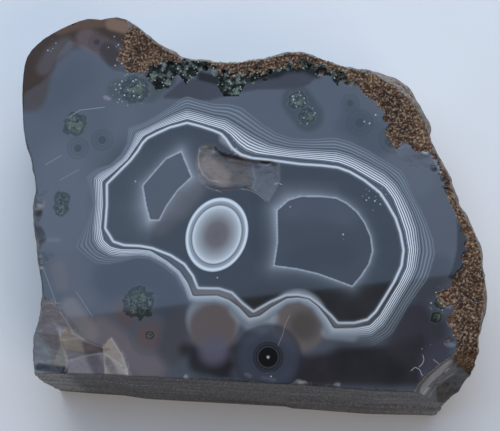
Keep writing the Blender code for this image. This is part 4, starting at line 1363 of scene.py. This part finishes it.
@dataclass(frozen=True)
class Rind:
    """Weathered outer skin of the nodule: dull grey-brown, finely pitted, with rusty and pale areas."""

    def build(self) -> bpy.types.Material:
        """Make the material.

        Returns:
            The finished material.
        """
        brush = Brush("weathered_rind")
        colour = brush.curve(
            brush.grain(16.0, 5.0), (0.35, "4f453e"), (0.45, "6a625c"), (0.55, "7d766d"), (0.65, "9a9082")
        )
        patch = brush.curve(brush.grain(6.0, 4.0), (0.48, 0.0), (0.62, 0.75))
        colour = brush.over(colour, "6f4f36", patch)
        fine = brush.curve(brush.grain(0.8, 3.0), (0.3, "3f3a36"), (0.5, "77716b"), (0.7, "a59d93"))
        colour = brush.over(colour, fine, 0.55)
        pits = brush.curve(brush.cells(1.3), (0.08, 0.8), (0.28, 0.0))
        colour = brush.over(colour, "2c2521", pits)
        return brush.finish(colour, 0.78, {"IOR": 1.5}, (brush.grain(1.0, 5.0), 0.45))


@dataclass(frozen=True)
class SawnChalcedony:
    """Chalcedony as the diamond saw left it: matt, grey and finely granular, with faint saw marks."""

    def build(self) -> bpy.types.Material:
        """Make the material.

        Returns:
            The finished material.
        """
        brush = Brush("sawn_chalcedony")
        split = add(brush.tree, "SeparateXYZ", {}, {0: brush.place}).outputs[0]
        along = brush.math("MULTIPLY", split, 1.0 / MM)
        colour = brush.curve(
            along, (-52.0, "989b9f"), (-41.0, "909397"), (-38.5, "54575b"), (5.0, "54565a"),
            (28.0, "686a6f"), (45.0, "808086"),
        )
        zones = brush.grain(7.0, 3.0, (0.4, 1.0, 1.6))
        colour = brush.over(colour, "3f4145", brush.curve(zones, (0.4, 0.5), (0.55, 0.0)))
        streaks = brush.grain(1.6, 4.0, (0.07, 0.2, 1.0))
        colour = brush.over(colour, "2b2c30", brush.curve(streaks, (0.36, 0.7), (0.46, 0.0)))
        colour = brush.over(colour, "8c8d91", brush.curve(streaks, (0.56, 0.0), (0.68, 0.45)))
        marks = brush.grain(1.3, 3.0, (0.15, 0.15, 1.0))
        colour = brush.over(colour, "7c7c80", brush.curve(marks, (0.45, 0.0), (0.75, 0.35)))
        grains = brush.grain(0.5, 2.0)
        colour = brush.over(colour, "2b2c30", brush.curve(grains, (0.42, 0.75), (0.52, 0.0)))
        colour = brush.over(colour, "94959a", brush.curve(grains, (0.58, 0.0), (0.7, 0.6)))
        pits = brush.curve(brush.cells(3.5), (0.05, 0.8), (0.12, 0.0))
        colour = brush.over(colour, "26262a", pits)
        return brush.finish(colour, 0.62, {"IOR": 1.54}, (brush.grain(0.5, 3.0), 0.12))


@dataclass(frozen=True)
class BrokenChalcedony:
    """Chalcedony broken by a blow: waxy curved faces with fine ripples, pale healed cracks, and bright
    edges painted as highlights.
    """

    def build(self) -> bpy.types.Material:
        """Make the material.

        Returns:
            The finished material.
        """
        brush = Brush("broken_chalcedony")
        veins = brush.curve(brush.grain(2.2, 4.0), (0.4, 0.0), (0.7, 0.35))
        colour = brush.over(brush.painted("body"), "857c77", brush.math("MULTIPLY", veins, 0.35))
        # Pale lines on the broken faces: healed cracks, and painted highlights along their edges
        colour = brush.over(colour, "c3c6c8", brush.math("MULTIPLY", brush.marking("crack"), 0.5))
        return brush.finish(colour, 0.28, {"IOR": 1.54}, (brush.grain(1.4, 3.0), 0.2))


@dataclass(frozen=True)
class Crust:
    """Dark green mineral crust in the pockets under the host rock, with small pale crystals."""

    def build(self) -> bpy.types.Material:
        """Make the material.

        Returns:
            The finished material.
        """
        brush = Brush("celadonite_crust")
        colour = brush.curve(brush.grain(1.3, 4.0), (0.35, "0a0a0a"), (0.5, "1c201c"), (0.64, "667068"))
        crystals = brush.curve(brush.cells(0.9), (0.12, 0.9), (0.25, 0.0))
        colour = brush.over(colour, "a9b0a6", crystals)
        settings = {"IOR": 1.55, "Specular IOR Level": 0.2}
        return brush.finish(colour, 0.7, settings, (brush.grain(0.8, 4.0), 0.4))


@dataclass(frozen=True)
class Panel:
    """A soft rectangular light.

    Args:
        name: what it is.
        place: its centre in metres.
        aim: the point that it faces, in metres.
        size: its width and height in metres.
        colour: linear tint.
        power: radiated power in watts.
        turn: how far it is turned about its own axis, in degrees.
        mirrored: whether glossy faces mirror it.
    """

    name: str
    place: tuple[float, float, float]
    aim: tuple[float, float, float]
    size: tuple[float, float]
    colour: tuple[float, float, float]
    power: float
    turn: float = 0.0
    mirrored: bool = True

    def build(self) -> bpy.types.Object:
        """Hang the panel in the scene.

        Returns:
            The light's object.
        """
        light = bpy.data.lights.new(self.name, "AREA")
        light.shape = "RECTANGLE"
        light.size, light.size_y = self.size
        light.color = self.colour
        light.energy = self.power
        made = bpy.data.objects.new(self.name, light)
        made.location = self.place
        made.visible_glossy = self.mirrored
        away = Vector(self.place) - Vector(self.aim)
        turned = Matrix.Rotation(math.radians(self.turn), 4, "Z")
        made.rotation_euler = (away.to_track_quat("Z", "Y").to_matrix().to_4x4() @ turned).to_euler()
        bpy.context.scene.collection.objects.link(made)
        return made


@dataclass(frozen=True)
class Studio:
    """Pale floor, soft daylight from above and behind, weak warm light from the front, and the camera."""

    lens: float = 82.8
    sensor: float = 36.0
    camera_place: tuple[float, float, float] = (0.02167, -0.03399, 0.2740)
    camera_right: tuple[float, float, float] = (0.99659, 0.0, -0.08249)
    camera_up: tuple[float, float, float] = (0.01070, 0.99155, 0.12932)
    camera_back: tuple[float, float, float] = (0.08179, -0.12976, 0.98817)
    clip: tuple[float, float] = (0.01, 20.0)
    floor_side: float = 6.0
    air_colour: tuple[float, float, float, float] = (1.0, 0.92, 0.84, 1.0)
    air_strength: float = 0.1
    panels: tuple[Panel, ...] = (
        Panel(
            "sky_panel", place=(-0.031, 0.620, 0.524), aim=(-0.031, 0.620, 0.0), size=(1.6, 1.21),
            colour=(0.435, 0.63, 0.95), power=8.7, turn=6.0,
        ),
        Panel(
            "window", place=(-0.1, 2.6, 1.5), aim=(0.0, 0.0, 0.02), size=(3.6, 2.4),
            colour=(0.93, 0.97, 1.0), power=86.0, mirrored=False,
        ),
        Panel(
            "warm_fill", place=(0.8, -0.9, 0.9), aim=(0.0, 0.0, 0.0), size=(1.0, 1.0),
            colour=(1.0, 0.84, 0.68), power=6.5,
        ),
    )

    def build(self) -> None:
        """Set up the floor, the lights and the camera."""
        self.build_floor()
        for panel in self.panels:
            panel.build()
        self.build_world()
        self.build_camera()

    def build_floor(self) -> None:
        """Lay the pale floor."""
        bm = bmesh.new()
        bmesh.ops.create_grid(bm, x_segments=1, y_segments=1, size=self.floor_side / 2.0)
        mesh = bpy.data.meshes.new("floor")
        bm.to_mesh(mesh)
        bm.free()
        brush = Brush("pale_paper")
        tone = brush.curve(brush.grain(40.0, 2.0), (0.3, "dcdcdb"), (0.7, "e0e0df"))
        mesh.materials.append(brush.finish(tone, 0.7, {"IOR": 1.45}))
        floor = bpy.data.objects.new("floor", mesh)
        bpy.context.scene.collection.objects.link(floor)

    def build_world(self) -> None:
        """Fill the shadows with a dim even light."""
        world = bpy.data.worlds.new("studio_air")
        world.use_nodes = True
        background = world.node_tree.nodes["Background"]
        background.inputs["Color"].default_value = self.air_colour
        background.inputs["Strength"].default_value = self.air_strength
        bpy.context.scene.world = world

    def build_camera(self) -> None:
        """Place the camera where the stone fills the frame from above."""
        data = bpy.data.cameras.new("camera")
        data.lens = self.lens
        data.sensor_width = self.sensor
        data.clip_start, data.clip_end = self.clip
        made = bpy.data.objects.new("camera", data)
        axes = Matrix((self.camera_right, self.camera_up, self.camera_back)).transposed().to_4x4()
        made.matrix_world = Matrix.Translation(self.camera_place) @ axes
        bpy.context.scene.collection.objects.link(made)
        bpy.context.scene.camera = made
        bpy.context.scene.view_settings.view_transform = "Standard"


def main() -> None:
    """Build the stone, dress it and set it up for the camera."""
    logging.basicConfig(level=logging.INFO, format="%(name)s: %(message)s")
    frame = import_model()
    stone = Stone(frame["nodes"]["agate"], FacePattern()).build()
    for finish in (PolishedChalcedony(), HostRock(), Rind(), SawnChalcedony(), BrokenChalcedony(), Crust()):
        stone.data.materials.append(finish.build())
    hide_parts("agate")
    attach(stone, "root")
    LOG.info("%s: %d faces", stone.name, len(stone.data.polygons))
    Studio().build()


if __name__ == "__main__":
    main()
